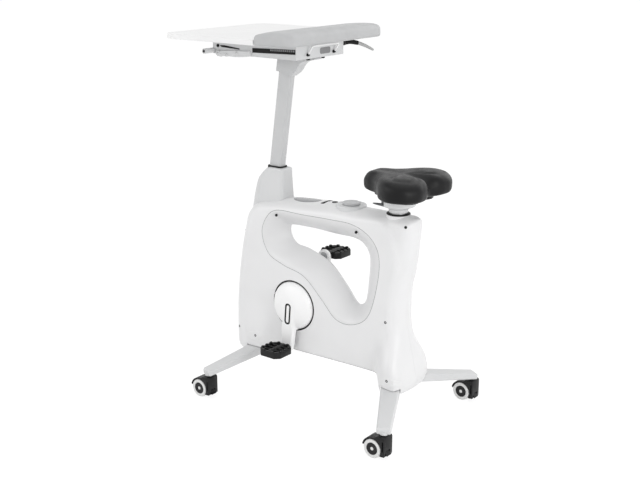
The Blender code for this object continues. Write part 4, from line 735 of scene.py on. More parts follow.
def make_saddle():
    low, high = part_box("saddle_cushion")
    outline = SADDLE_OUTLINE + [(x, -y) for x, y in reversed(SADDLE_OUTLINE[1:]) if y > 0]
    edge = closed_curve(outline, 7)
    top = high.z - SADDLE_SINK
    rows = [[(*SADDLE_MIDDLE, top + saddle_relief(*SADDLE_MIDDLE))]]
    for share, height in SADDLE_PROFILE:
        row = []
        for point in edge:
            place = SADDLE_MIDDLE.lerp(point, share)
            relief = saddle_relief(place.x, place.y) * fade(height, 0.30, 0.80)
            row.append((place.x, place.y, mix(low.z, top, height) + relief))
        rows.append(row)
    rows.append([(*SADDLE_MIDDLE, low.z)])
    saddle = add_piece("saddle", skin(rows), saddle_vinyl, "seat", 80, "black_vinyl")
    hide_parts("saddle_cushion")


def divided(ring, counts):
    """The ring with each of its sides divided into so many parts."""
    fine = []
    for i, (point, count) in enumerate(zip(ring, counts)):
        ahead = ring[(i + 1) % len(ring)]
        fine += [tuple(mix(a, b, k / count) for a, b in zip(point, ahead)) for k in range(count)]
    return fine


def pad_ring(low, high, inset):
    """One level of the wrist pad: small corners at the board and wide ones at the back."""
    corners = [max(corner - inset, 0.002) for corner in (PAD_CORNER_BOARD, PAD_CORNER_BACK)]
    return rounded_box(low.x + inset, high.x - inset, high.y - inset, *corners, 8)


def pad_top(x, y, high):
    """Height of the pad's top: highest behind its middle, lower at the board and softer at its ends."""
    beyond = (PAD_PEAK - x, x - PAD_PEAK, abs(y) - PAD_LEVEL)
    return high.z - PAD_CROWN - sum(fall * (max(0.0, reach) / span) ** 2
                                    for reach, (span, fall) in zip(beyond, PAD_FALLS))


def make_pad():
    low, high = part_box("wrist_pad")
    widest = pad_ring(low, high, 0.0)
    counts = [math.ceil(math.dist(a, b) / PAD_STEP) for a, b in zip(widest, widest[1:] + widest[:1])]
    rows = []
    for inset, share in PAD_RINGS:
        ring = divided(pad_ring(low, high, inset), counts)
        rows.append([(x, y, mix(low.z, pad_top(x, y, high), share)) for x, y in ring])
    pad = add_piece("wrist_rest", skin(rows, "cut"), pad_vinyl, "desk", 60, "pad_vinyl")
    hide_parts("wrist_pad")


# Crank covers: a domed disc with the arm's cover flowing out of it
ARM_TILT = math.radians(4.7)
ARM_LENGTH = 0.133
ARM_END = 0.0225
ARM_SPREAD = 0.026
ARM_FADE = 0.040
ARM_FACE = 0.095
ARM_BACK = 0.0788
ARM_SHOULDER = 0.0796     # where the rounded edge of the arm's face begins, beyond the disc
FLANK_WIDTHS = (0.020, 0.0065)   # the arm's flank rises over these widths, near the axle and at the rim
FLANK_REACH = (0.030, 0.078)
RIM_REACH = (0.066, 0.082)       # its edge turns from soft to round between these
REACH_STEP = 0.0002
STEEL_ARM_FACE = 0.0852
STEEL_ARM_HALF = 0.0143
DISC_RADIUS = 0.079
DISC_FOOT = 0.060
DISC_DOME = [(0.0, 0.0950), (0.020, 0.0944), (0.040, 0.0920), (0.055, 0.0884), (0.066, 0.0830),
             (0.072, 0.0780), (0.076, 0.0725), (0.0783, 0.0680), (0.079, 0.0650)]
COVER_HOLLOW = [(0.076, 0.0600), (0.076, 0.0640), (0.070, 0.0730), (0.058, 0.0820), (0.035, 0.0890)]
COVER_SHARES = [0.04, 0.10, 0.17, 0.24, 0.31, 0.38, 0.45, 0.52, 0.58, 0.64, 0.70, 0.75, 0.80, 0.84, 0.88,
                0.91, 0.935, 0.955, 0.970, 0.982, 0.991, 0.997, 1.0]
COVER_SKIN = 0.003
SPINDLE_HOLE = 0.0064
AXLE_HOLE = 0.0088
AXLE_POCKET = 0.0865
INLAY_ENDS = (-0.0025, 0.0465, 0.0085)      # the middles of its round ends along the arm, and their radius
INLAY_STROKE = 0.0031                       # half the width of its line
INLAY_EDGE = INLAY_STROKE - 0.0004
INLAY_SECTION = ((-INLAY_STROKE, -0.0010), (-INLAY_STROKE, 0.0002), (-INLAY_EDGE, 0.0004),
                 (INLAY_EDGE, 0.0004), (INLAY_STROKE, 0.0002), (INLAY_STROKE, -0.0010))


def arm_place(side, d, w):
    """A place on a crank arm, by its distances along and across the arm from the crank axle."""
    along_x, along_z = side * math.sin(ARM_TILT), side * math.cos(ARM_TILT)
    return DISC_CENTRE[0] + along_x * d - along_z * w, DISC_CENTRE[1] + along_z * d + along_x * w


def on_arm(side, d, w, height):
    """Such a place at a height, which is its distance from the middle plane."""
    x, z = arm_place(side, d, w)
    return x, side * height, z


def arm_margin(d, w):
    """How far inside the arm's outline a place lies."""
    if d > ARM_LENGTH:
        return ARM_END - math.hypot(d - ARM_LENGTH, w)
    return ARM_END + ARM_SPREAD * math.exp(-max(d, 0.0) / ARM_FADE) - math.hypot(min(d, 0.0), w)


def cover_face(d, w):
    """Distance of a cover's outer face from the middle plane."""
    reach = math.hypot(d, w)
    floor = curve_value(DISC_DOME, reach) if reach <= DISC_RADIUS else ARM_SHOULDER
    margin = arm_margin(d, w)
    width = mix(*FLANK_WIDTHS, fade(reach, *FLANK_REACH))
    share = max(0.0, min(1.0, margin / width))
    rim = fade(reach, *RIM_REACH)
    rise = mix(smoothstep(share), math.sqrt(1 - (1 - share) ** 2), rim)
    return floor + max(0.0, ARM_FACE - floor) * rise


def cover_edge(turn):
    """Distance of the cover's outline from the axle in one direction."""
    reach = ARM_LENGTH + ARM_END
    while reach > DISC_RADIUS and (math.cos(turn) < 0
                                   or arm_margin(reach * math.cos(turn), reach * math.sin(turn)) < 0):
        reach -= REACH_STEP
    return max(reach, DISC_RADIUS)


def cover_rows(side):
    """Rings of the cover from the middle of its face, round its edge and into the hollow behind it."""
    # coarse round the disc, fine where the arm leaves it
    turns = [math.radians(a) for a in range(30, 331, 4)]
    turns += [math.radians(-29.5 + 0.75 * k) for k in range(79)]
    edges = [cover_edge(turn) for turn in turns]
    rows = []

    def add_row(reaches, heights):
        rows.append([on_arm(side, reach * math.cos(turn), reach * math.sin(turn), height)
                     for turn, reach, height in zip(turns, reaches, heights)])

    for share in COVER_SHARES:
        reaches = [edge * share for edge in edges]
        add_row(reaches, [cover_face(reach * math.cos(turn), reach * math.sin(turn))
                          for turn, reach in zip(turns, reaches)])
    for reaches, rise in ((edges, 0.004), ([DISC_RADIUS] * len(turns), 0.002)):
        add_row(reaches, [ARM_BACK if edge > DISC_RADIUS else DISC_FOOT + rise for edge in edges])
    for reach, height in ((DISC_RADIUS, DISC_FOOT), *COVER_HOLLOW):
        add_row([reach] * len(turns), [height] * len(turns))
    return rows


def arm_prism(name, side, half, length, low, high):
    """A straight bar with round ends along a crank arm."""
    outline = [arm_place(side, d, w) for d, w in round_bar(0.0, length, half, 12)]
    return prism(name, outline, "y", side * low, side * high)


def circle_prism(name, x, z, radius, low, high, count=40):
    return prism(name, circle(x, z, radius, count), "y", low, high)


def make_inlay(hand, side):
    """A dark oblong ring let into the cover's face."""
    low, high, radius = INLAY_ENDS
    rows = [[on_arm(side, d, w, cover_face(d, w) + lift) for d, w in round_bar(low, high, radius + grow, 32)]
            for grow, lift in INLAY_SECTION]
    add_piece(hand + "_cover_inlay", skin(rows, "joined"), black_plastic, "crank", slot="black_plastic")


def make_covers():
    x, z = DISC_CENTRE
    for hand, side in SIDES:
        rows = [[(x, side * ARM_FACE, z)], *cover_rows(side), [(x, side * (ARM_FACE - COVER_SKIN), z)]]
        cover = add_piece(hand + "_cover", skin(rows), cover_white)
        spindle = arm_place(side, ARM_LENGTH, 0.0)
        cut(cover, arm_prism("arm room", side, STEEL_ARM_HALF, ARM_LENGTH, 0.050, STEEL_ARM_FACE),
            circle_prism("axle room", x, z, AXLE_HOLE, side * 0.050, side * AXLE_POCKET),
            circle_prism("spindle room", *spindle, SPINDLE_HOLE, side * 0.070, side * 0.110))
        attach(cover, "crank")
        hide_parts(hand + "_crank_cover")
        make_inlay(hand, side)


# Pedals: a rugged frame with toothed bars round a ribbed deck
PEDAL_HALF = 0.042
PEDAL_WIDE = 0.084
PEDAL_NEAR = 0.103
PEDAL_CHAMFER = 0.015
PEDAL_RIM = (-0.0118, 0.0092)
PEDAL_DECK = 0.0040
PEDAL_RIM_WIDTH = 0.0085
PEDAL_WINDOWS = ((0.0245, 0.0595), 0.0215, 0.0060, 0.0120, 0.003)   # middles, flank, half sizes and chamfer
PEDAL_RIBS = ((0.0225, 0.0420, 0.0615), 0.0360, 0.0013, 0.0085)     # middles, and half sizes
PEDAL_BARREL = 0.0105
BARREL_INSET = 0.0012
PEDAL_TOOTH = (0.0042, 0.0030, 0.0125)   # half length, half width and top
SIDE_TEETH = (0.0220, 0.0420, 0.0620)
END_TEETH = (-0.0180, 0.0180)
TOOTH_INSET = 0.0044
PEDAL_BORE = 0.0065


def octagon(half, low, high, chamfer, x=0.0):
    """A rectangle with cut corners, from a low y to a high y."""
    ring = [(half, low + chamfer), (half, high - chamfer), (half - chamfer, high), (chamfer - half, high),
            (-half, high - chamfer), (-half, low + chamfer), (chamfer - half, low), (half - chamfer, low)]
    return [(x + along, y) for along, y in ring]


def pedal_shape():
    """A pedal about its spindle, reaching outwards along +Y from its inner end."""
    made = prism("pedal frame", octagon(PEDAL_HALF, 0.0, PEDAL_WIDE, PEDAL_CHAMFER), "z", *PEDAL_RIM)
    soften(made, 0.0016)
    inner = octagon(PEDAL_HALF - PEDAL_RIM_WIDTH, PEDAL_RIM_WIDTH, PEDAL_WIDE - PEDAL_RIM_WIDTH,
                    PEDAL_CHAMFER - 0.0035)
    rooms = [prism("pedal room", inner, "z", *span) for span in ((PEDAL_DECK, 0.030), (-0.030, -PEDAL_DECK))]
    middles, flank, half_x, half_y, chamfer = PEDAL_WINDOWS
    for along in (-flank, flank):
        for middle in middles:
            window = octagon(half_x, middle - half_y, middle + half_y, chamfer, along)
            rooms.append(prism("deck window", window, "z", -0.030, 0.030))
    cut(made, *rooms)
    barrel_end = PEDAL_WIDE - BARREL_INSET
    added = [turned("barrel", [(0.0, BARREL_INSET), (PEDAL_BARREL, BARREL_INSET), (PEDAL_BARREL, barrel_end),
                               (0.0, barrel_end)], (0, 0, 0), ACROSS)]
    middles, half_x, half_y, half_z = PEDAL_RIBS
    for middle in middles:
        added.append(block("rib", (-half_x, middle - half_y, -half_z), (half_x, middle + half_y, half_z)))
    half, wide, top = PEDAL_TOOTH
    for side in (-1, 1):
        x = side * (PEDAL_HALF - TOOTH_INSET)
        y = PEDAL_RIM_WIDTH / 2 if side < 0 else PEDAL_WIDE - PEDAL_RIM_WIDTH / 2
        for middle in SIDE_TEETH:
            added.append(block("tooth", (x - wide, middle - half, 0.0), (x + wide, middle + half, top)))
        for along in END_TEETH:
            added.append(block("tooth", (along - half, y - wide, 0.0), (along + half, y + wide, top)))
    join(made, *added)
    cut(made, circle_prism("pedal bore", 0.0, 0.0, PEDAL_BORE, -0.010, PEDAL_WIDE - 0.003))
    return soften(made, 0.0005, 1, 50)


def make_pedals():
    made = pedal_shape()
    coat(made, black_plastic)
    for hand, side in SIDES:
        x, z = arm_place(side, ARM_LENGTH, 0.0)
        pedal = copied(hand + "_pedal_body", made, "pedal_" + hand, (x, side * PEDAL_NEAR, z), flip=side < 0)
        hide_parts(hand + "_pedal")
    drop(made)


# Casters: pale wheels with dark hub caps under a hood
ROLL_RADIUS = 0.030
ROLL_OUTER = 0.022
TRAIL = 0.027
HOOD_TOP = 0.075
HOOD_REACH = 0.016
HOOD_ROOF = 0.0055
WHEEL_ROOM = 0.032
HOOD_WEB = 0.0066
HOOD_BACK = [(-0.020, 0.0672), (-0.011, HOOD_TOP - 0.0015), (0.010, HOOD_TOP),
             (HOOD_REACH - 0.002, HOOD_TOP - 0.002), (HOOD_REACH, HOOD_TOP - 0.006), (HOOD_REACH, 0.014)]
HOOD_FOOT = ((0.012, -0.018), (-0.012, -0.016), (-0.026, -0.004))     # from the wheel's hub
FLUTE = ((0.0085, 0.0170, 0.030), (0.0125, 0.0300, 0.062))
COLLAR = [(0.0, HOOD_TOP - 0.006), (0.011, HOOD_TOP - 0.006), (0.011, HOOD_TOP + 0.0012),
          (0.0102, HOOD_TOP + 0.002), (0.0, HOOD_TOP + 0.002)]
STEM = [(0.0, HOOD_TOP - 0.004), (0.0055, HOOD_TOP - 0.004), (0.0055, 0.0932), (0.0047, 0.0940),
        (0.0, 0.0940)]
CAP_RADIUS = 0.0190
CASTER_AXLE = 0.004
TAB_PIVOT = (0.011, 0.024)
TAB_ROOM = 0.0104
TAB_SLOT = ((TAB_PIVOT[0] - 0.0055, -TAB_ROOM, 0.0), (0.040, TAB_ROOM, TAB_PIVOT[1] + 0.007))
TAB_BORE = (0.0024, 0.0133)
WHEEL_PROFILE = [(CAP_RADIUS - 0.002, 0.0205), (CAP_RADIUS, 0.0205), (CAP_RADIUS + 0.0006, 0.0216),
                 (0.0268, 0.0216), (0.0285, 0.0209), (0.0296, 0.0194), (ROLL_RADIUS, 0.0170),
                 (ROLL_RADIUS, 0.0105), (0.0294, 0.0083), (0.0280, 0.0072), (CASTER_AXLE, 0.0070)]
CAP_PROFILE = [(0.0, 0.0203), (0.0050, 0.0203), (0.0062, 0.0210), (0.0110, 0.0212), (0.0150, 0.0219),
               (0.0172, 0.0219), (0.0186, 0.0213), (CAP_RADIUS, 0.0204), (CAP_RADIUS - 0.0005, 0.0190),
               (0.0, 0.0190)]


def hood_shape():
    hub = Vector((-TRAIL, ROLL_RADIUS))
    roof = ROLL_RADIUS + HOOD_ROOF
    outline = arc(*hub, roof, roof, 165, 100, 13) + HOOD_BACK + [hub + Vector(place) for place in HOOD_FOOT]
    hood = prism("hood", outline, "y", -ROLL_OUTER, ROLL_OUTER)
    soften(hood, 0.0012, 2, 30)
    rooms = [circle_prism("hub bore", *hub, CASTER_AXLE + 0.0003, -0.030, 0.030, 24),
             block("tab room", *TAB_SLOT),
             circle_prism("tab bore", *TAB_PIVOT, TAB_BORE[0], -TAB_BORE[1], TAB_BORE[1], 20)]
    for side in (-1, 1):
        rooms.append(circle_prism("wheel room", *hub, WHEEL_ROOM, side * HOOD_WEB, side * 0.040, 64))
        rooms.append(block("flute", *((x, side * y, z) for x, y, z in FLUTE)))
    cut(hood, *rooms)
    return join(hood, turned("collar", COLLAR, (0, 0, 0), UP), turned("stem", STEM, (0, 0, 0), UP, steps=32))


def make_casters():
    hood = hood_shape()
    coat(hood, black_plastic)
    profile = [(0.0, WHEEL_PROFILE[0][1]), *WHEEL_PROFILE]
    profile += [(radius, -height) for radius, height in reversed(profile)]
    wheel = turned("wheel", profile, (0, 0, 0), ACROSS, wheel_grey, None, 64, 30)
    caps = [turned("cap", CAP_PROFILE, (0, 0, 0), (0, side, 0), black_plastic, angle=30) for _, side in SIDES]
    for end, stem_x in STEMS.items():
        for hand, side in SIDES:
            name = end + "_" + hand
            place = Vector((stem_x, side * STEM_SIDE, 0.0))
            hub = place + Vector((-TRAIL, 0.0, ROLL_RADIUS))
            housing = copied(name + "_hood", hood, name + "_swivel", place)
            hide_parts(name + "_caster_housing")
            roller = copied(name + "_twin_wheel", wheel, name + "_roller", hub)
            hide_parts(name + "_caster_wheel")
            for cap, (edge, _) in zip(caps, SIDES):
                copied(f"{name}_{edge}_hub_cap", cap, name + "_roller", hub, slot="black_plastic")
    drop(hood, wheel, *caps)


# Details on the sides of the casing
SCREWS = [(-0.291, 0.519, 0.0), (-0.3095, 0.179, 0.0), (-0.216, 0.175, 0.0010), (0.344, 0.636, 0.0),
          (0.288, 0.330, 0.0), (0.324, 0.161, 0.0010), (-0.134, 0.5995, -0.0006), (0.176, 0.5955, -0.0006)]
SCREW_PROFILE = [(0.0, -0.0002), (0.0018, -0.0002), (0.0021, 0.0008), (0.0036, 0.0007), (0.0043, 0.0002),
                 (0.0045, -0.0010), (0.0045, -0.0030), (0.0, -0.0030)]
PADS = [((-0.222, 0.172), (0.034, 0.016), 8), ((0.333, 0.157), (0.027, 0.014), -6)]
PAD_SECTION = ((0.1, 0.0011), (0.5, 0.0011), (0.8, 0.0011), (0.93, 0.0009), (0.985, 0.0004), (1.0, -0.0010))
SEAL_RADIUS = 0.0822
SEAL = (0.0019, 0.0006, 0.0040)       # half width, height over the casing and depth into it
# The band of painted seam shade: half width, height over the casing and depth into it
SEAM_SHADE = (0.00065, 0.0003, 0.0020)
# Painted shade along the casing's rounded lower edge: a thin grey tube
SHADE_LINE_RADIUS = 0.0008
SHADE_LINE_LIFT = 0.0002
SHADE_LINE_STEPS = 90
SHADE_LINE_RISE = 0.0070
SHADE_LINE_ENDS = (-0.196, 0.270)


def casing_normal(x, z):
    step = 0.0005
    slope_x = (casing_side(x + step, z) - casing_side(x - step, z)) / (2 * step)
    slope_z = (casing_side(x, z + step) - casing_side(x, z - step)) / (2 * step)
    return Vector((-slope_x, 1.0, -slope_z)).normalized()


def side_band(name, path, size, side, surface):
    """A closed strip laid along a path on the side of the casing, a little raised and let in."""
    half, lift, sink = size
    section = ((-half, -sink), (-half, lift * 0.4), (0.0, lift), (half, lift * 0.4), (half, -sink))
    rows = [[beside(*place, side, rise) for place in widened(path, offset)] for offset, rise in section]
    return add_piece(name, skin(rows, "joined"), surface, "base", 60, "black_rubber")


def side_pad(name, centre, radii, tilt, side):
    """A low oval boss that follows the side of the casing round a screw."""
    turn = Matrix.Rotation(math.radians(tilt), 2)
    rim = [turn @ Vector(place) for place in ellipse(0.0, 0.0, *radii, 48)]
    rows = [[beside(*(Vector(centre) + place * share), side, lift) for place in rim]
            for share, lift in PAD_SECTION]
    return add_piece(name, skin(rows, "cut"), casing_white, "base", slot="casing_white")


def bottom_line():
    """Places just over the casing's lower edge, from the front boot to the rear one, where a line of painted
    shade runs.
    """
    low, high = BOTTOM_LINE[0][0], BOTTOM_LINE[-1][0]
    for k in range(SHADE_LINE_STEPS + 1):
        x = mix(low, high, k / SHADE_LINE_STEPS)
        if SHADE_LINE_ENDS[0] < x < SHADE_LINE_ENDS[1]:
            yield x, curve_value(BOTTOM_LINE, x) + SHADE_LINE_RISE


def make_side_details():
    disc = circle(*DISC_CENTRE, SEAL_RADIUS, 128)
    seam = widened(closed_curve(TRIM_OUTER), TRIM_GAP / 2)
    for hand, side in SIDES:
        side_band(hand + "_disc_seal", disc, SEAL, side, black_rubber)
        # Painted shade: a grey band along the seam round each trim, for the shade in the groove at the joint
        side_band(hand + "_painted_seam_shade", seam, SEAM_SHADE, side, shade_and_rib_grey)
        for k, pad in enumerate(PADS):
            side_pad(f"{hand}_boss_{k}", *pad, side)
        for k, (x, z, lift) in enumerate(SCREWS):
            normal = casing_normal(x, z)
            turned(f"{hand}_screw_{k}", SCREW_PROFILE, beside(x, z, side, lift),
                   (normal.x, side * normal.y, normal.z), black_plastic, "base", 24, slot="black_plastic")
        # Painted shade: a thin grey tube along the rounded lower edge, for the shade of that edge
        shade_line = [beside(x, z, side, SHADE_LINE_LIFT) for x, z in bottom_line()]
        tube(hand + "_bottom_shade_line", shade_line, [SHADE_LINE_RADIUS] * len(shade_line), shade_and_rib_grey, "base", 8, slot="black_rubber")


# Neck cover
NECK_FRONT = [(0.575, -0.284), (0.598, -0.278), (0.658, -0.266), (0.703, -0.251), (0.728, -0.226),
              (0.742, -0.209)]
NECK_REAR = -0.134
NECK_HALF_LOW = 0.037
NECK_HALF_HIGH = 0.027
NECK_TOP = 0.742
NECK_ROUND = 0.006
NECK_WALL = 0.0022
NECK_CORNER = 0.013
NECK_LOWEST = 0.577
NECK_HEIGHTS = (0.600, 0.740)         # it narrows between these
NECK_NOSE = (0.040, 1.3)              # the nose's greatest half width, and its depth as a share of that
MAST_AXIS = (-0.177, 0.763, math.radians(8.1))
COLLAR_HALF = (0.0273, 0.0173)


def neck_ring(z, shrink):
    """One level of the neck cover: round in front, with small corners behind."""
    front = curve_value(NECK_FRONT, z) + shrink
    half = mix(NECK_HALF_LOW, NECK_HALF_HIGH, fade(z, *NECK_HEIGHTS)) - shrink
    nose = min(NECK_NOSE[0], half) * NECK_NOSE[1]
    corner = max(NECK_CORNER - shrink, 0.002)
    ring = arc(front + nose, 0.0, nose, half, 90, 270, 30)
    x, y = NECK_REAR - shrink - corner, half - corner
    return ring + arc(x, -y, corner, corner, 270, 360, 6) + arc(x, y, corner, corner, 0, 90, 6)


def neck_foot(column):
    """Height at which one upright line of the neck meets the casing."""
    def inside(z):
        x, y = neck_ring(z, 0.0)[column]
        return abs(y) < casing_side(x, z)
    return furthest(NECK_LOWEST, NECK_TOP - NECK_ROUND, inside)


def make_neck():
    feet = [neck_foot(column) for column in range(len(neck_ring(NECK_TOP, 0.0)))]
    rows = []
    for share in (0.0, 0.06, 0.15, 0.3, 0.45, 0.6, 0.75, 0.88, 1.0):
        heights = [mix(foot, NECK_TOP - NECK_ROUND, share) for foot in feet]
        rows.append([(*neck_ring(z, 0.0)[i], z) for i, z in enumerate(heights)])
    for degrees in (22.5, 45, 67.5, 90):
        a = math.radians(degrees)
        z = NECK_TOP - NECK_ROUND * (1 - math.sin(a))
        rows.append([(x, y, z) for x, y in neck_ring(z, NECK_ROUND * (1 - math.cos(a)))])
    axis = MAST_AXIS[0] + (NECK_TOP - MAST_AXIS[1]) * math.tan(MAST_AXIS[2])
    rim = []
    for x, y, z in rows[-1]:
        away = Vector((x - axis, y))
        reach = min(COLLAR_HALF[0] / max(abs(away.x), 1e-6), COLLAR_HALF[1] / max(abs(away.y), 1e-6))
        rim.append((axis + away.x * reach, away.y * reach, z))
    rows.append([Vector(outer).lerp(Vector(inner), 0.5) for outer, inner in zip(rows[-1], rim)])
    shape = skin([*rows, rim], "open")
    give_wall(shape, NECK_WALL, half=False)
    neck = add_piece("neck_hood", shape, neck_grey, "base")
    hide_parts("neck_cover")


# Seat fittings
SEAT_RING = [(0.0266, 0.0240), (0.0300, 0.0240), (0.0300, 0.0033), (0.0352, 0.0033), (0.0362, 0.0023),
             (0.0362, 0.0010), (0.0352, 0.0), (0.0266, 0.0), (0.0266, 0.0240)]     # depths below its top
SEAT_BOSS = [(0.0302, 0.636), (0.0302, 0.6604), (0.0366, 0.6604), (0.0376, 0.6596), (0.0380, 0.6575),
             (0.0384, 0.650), (0.0384, 0.636), (0.0302, 0.636)]
CLAMP_DROP = 0.0035         # the clamp's sleeve reaches this far below its packed form
CLAMP_BORE = 0.0262
LEVER_SLOT = ((-0.010, -0.0092, -0.0050), (0.050, 0.0092, 0.0110))    # in the lever's own frame
CLAMP_PROFILE = [(0.0292, 0.0), (0.0296, 0.0008), (0.0296, 0.0085), (0.0320, 0.0112), (0.0400, 0.0150),
                 (0.0480, 0.0182), (0.0510, 0.0198), (0.0520, 0.0222)]
SEAT_LEVER_ROOT = Vector((0.277, -0.0265, 0.687))
SEAT_LEVER_TIP = Vector((0.241, -0.060, 0.697))
SEAT_LEVER_SECTIONS = [(-0.06, 0.0070, 0.0042), (0.15, 0.0078, 0.0052), (0.40, 0.0082, 0.0050),
                       (0.70, 0.0080, 0.0036), (0.95, 0.0068, 0.0022), (1.05, 0.0040, 0.0012)]


def lever_frame():
    """The seat lever's own frame: x along it, z upwards."""
    along = (SEAT_LEVER_TIP - SEAT_LEVER_ROOT).normalized()
    across = Vector(UP).cross(along).normalized()
    turn = Matrix((along, across, along.cross(across))).transposed().to_4x4()
    return Matrix.Translation(SEAT_LEVER_ROOT) @ turn


def make_seat_fittings():
    origin = (SEAT_PLACE, 0.0, 0.0)
    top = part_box("seat_collar")[1].z
    profile = [(radius, top - depth) for radius, depth in SEAT_RING]
    ring = turned("seat_ring", profile, origin, UP, black_rubber, "base", 64, 50)
    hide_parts("seat_collar")
    turned("seat_boss", SEAT_BOSS, origin, UP, casing_white, "base", 64, 50, "casing_white")
    low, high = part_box("seat_clamp")
    foot = low.z - CLAMP_DROP
    profile = [(radius, foot + rise) for radius, rise in CLAMP_PROFILE]
    profile += [(0.0520, high.z - 0.001), (0.0510, high.z), (CLAMP_BORE, high.z), (CLAMP_BORE, foot),
                profile[0]]
    clamp = turned("seat_cone", profile, origin, UP, frame_paint, None, 64, 30)
    slot = block("lever slot", *LEVER_SLOT)
    slot.data.transform(lever_frame())
    cut(clamp, slot)
    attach(clamp, "seat")
    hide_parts("seat_clamp")
    length = (SEAT_LEVER_TIP - SEAT_LEVER_ROOT).length
    rows = [[lever_frame() @ Vector((share * length, y, z)) for y, z in ellipse(0.0, 0.0, half, thick, 24)]
            for share, half, thick in SEAT_LEVER_SECTIONS]
    lever = add_piece("seat_tab", skin(rows, "filled"), lever_grey, "seat_lever_set", 60)
    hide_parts("seat_lever")


# Console on the top of the casing
LENS_HALF = 0.028
LENS_SKIN = 0.0009
WINDOW_MIDDLE = 0.0205
WINDOW_SIZE = (0.0068, 0.0245, 0.0030)      # half length, half width and corner
WINDOW_SKIN = 0.0010
COVER_SHEETS = ((0.03, 1.0), (0.25, 1.0), (0.5, 1.0), (0.75, 1.0), (0.9, 1.0), (0.97, 0.8), (1.0, 0.2))
COVER_SINK = 0.0008
CASING_TOPS = (0.580, 0.675)        # the casing's upper surface lies between these heights
DISH_PLACE = 0.116
DISH_DEPTH = 0.0150
DISH_PROFILE = [(0.0, 0.0145), (0.0295, 0.0145), (0.0305, 0.0128), (0.0345, 0.0124), (0.0395, 0.0133),
                (0.0425, 0.0148), (0.0450, 0.0152), (0.0468, 0.0146), (0.0478, 0.0130), (0.0480, 0.0095),
                (0.0480, -0.0060), (0.0, -0.0060)]
KNOB_PROFILE = [(0.0, 0.0004), (0.0268, 0.0004), (0.0278, 0.0012), (0.0282, 0.0030), (0.0276, 0.0058),
                (0.0262, 0.0072), (0.0240, 0.0076), (0.0220, 0.0072), (0.0120, 0.0066), (0.0, 0.0064)]


def casing_top(x, y):
    """Height of the casing's upper surface over a place."""
    return furthest(*CASING_TOPS, lambda z: casing_side(x, z) > abs(y))


def top_cover(name, rim, middle, thickness, surface, slot=None):
    """A thin piece that lies on the top of the casing inside a rim."""
    rows = []
    for share, part in COVER_SHEETS:
        places = [(mix(middle, x, share), y * share) for x, y in rim]
        rows.append([(x, y, casing_top(x, y) + thickness * part) for x, y in places])
    rows.append([(x, y, casing_top(x, y) - COVER_SINK) for x, y in rim])
    return add_piece(name, skin(rows, "cut"), surface, "base", 50, slot)


def make_console():
    low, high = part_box("display_lens")
    middle = (low.x + high.x) / 2
    rim = ellipse(middle, 0.0, (high.x - low.x) / 2, LENS_HALF, 72)
    lens = top_cover("console_lens", rim, middle, LENS_SKIN, display_grey)
    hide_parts("display_lens")
    half, flank, corner = WINDOW_SIZE
    rim = rounded_box(WINDOW_MIDDLE - half, WINDOW_MIDDLE + half, flank, corner, corner, 6)
    top_cover("console_window", rim, WINDOW_MIDDLE, WINDOW_SKIN, black_rubber, "display_window")
    foot = Vector((DISH_PLACE, 0.0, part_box("resistance_knob")[0].z))
    under = foot - Vector(UP) * DISH_DEPTH
    dish = turned("console_dish", DISH_PROFILE, under, UP, neck_grey, "base", 96, 35)
    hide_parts("knob_dish")
    knob = turned("console_knob", KNOB_PROFILE, foot, UP, knob_grey, "knob", 72, 35)
    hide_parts("resistance_knob")


# Under the desk
TRAY_BACK = -0.005          # outer face of the tray's rear wall
TRAY_SIDE = 0.117           # outer face of its side walls
LET_IN = 0.001              # how far a detail goes into its wall
BAIL_PLACE = (-0.001, 1.116)
BAIL_WIRE = 0.0028
BAIL_FOOT = [(0.000, 0.0640, 0.000), (0.007, 0.0652, 0.010), (0.014, 0.0660, 0.0200)]
BAIL_BEND = (0.0032, -0.0100, 0.0066)    # what the corner adds to the foot's last place
BAIL_FOOT_PROFILE = [(0.0, -0.004), (0.0042, -0.004), (0.0046, -0.003), (0.0046, 0.003), (0.0040, 0.004),
                     (0.0, 0.004)]
LEVER_PLACE = Vector((-0.009, 0.121, 1.137))
LEVER_ROUTE = [(0.000, 0.002, 0.000), (0.003, 0.012, 0.001), (0.007, 0.024, 0.002), (0.013, 0.037, 0.000),
               (0.020, 0.050, -0.003), (0.028, 0.062, -0.008), (0.036, 0.074, -0.014), (0.043, 0.084, -0.020),
               (0.049, 0.0915, -0.0255), (0.0505, 0.0935, -0.0270)]
LEVER_RADII = [0.0066, 0.0066, 0.0064, 0.0061, 0.0058, 0.0054, 0.0050, 0.0045, 0.0038, 0.0020]
LEVER_ROOT_PROFILE = [(0.0, -0.0030), (0.0072, -0.0030), (0.0082, -0.0020), (0.0082, 0.0070),
                      (0.0074, 0.0082), (0.0, 0.0082)]
GRIP_POINTS = 5             # the black sleeve covers the lever up to this point of its route
GRIP_SKIN = 0.0009
SIDE_SLOT = [(-0.175, 1.1160), (-0.007, 1.1205), (-0.007, 1.1345), (-0.175, 1.1300)]
SIDE_LIFT = 0.0012
WEDGE = [(-0.309, 1.1300), (-0.3030, 1.1250), (-0.2280, 1.1215), (-0.2280, 1.1250), (-0.292, 1.1310)]
RIB_COUNT = 12
RIB_X = (-0.100, -0.012)    # places of the first and the last rib
RIB_Z = (1.1255, 1.1275)    # feet of those two
RIB_SIZE = (0.0022, 0.0055)
RIB_LIFT = 0.0028
RAIL_REACH = 0.004          # the rail behind the ribs goes so far beyond them
RAIL_Z = (1.1264, 1.1276)
HOUSING = [(-0.323, 1.1120), (-0.322, 1.1010), (-0.316, 1.0965), (-0.302, 1.0955), (-0.292, 1.0985),
           (-0.281, 1.0970), (-0.268, 1.0985), (-0.240, 1.0980), (-0.212, 1.0998), (-0.190, 1.1025),
           (-0.180, 1.1050), (-0.180, 1.1200), (-0.230, 1.1185), (-0.290, 1.1150)]
HOUSING_FACE = TRAY_SIDE + 0.0075
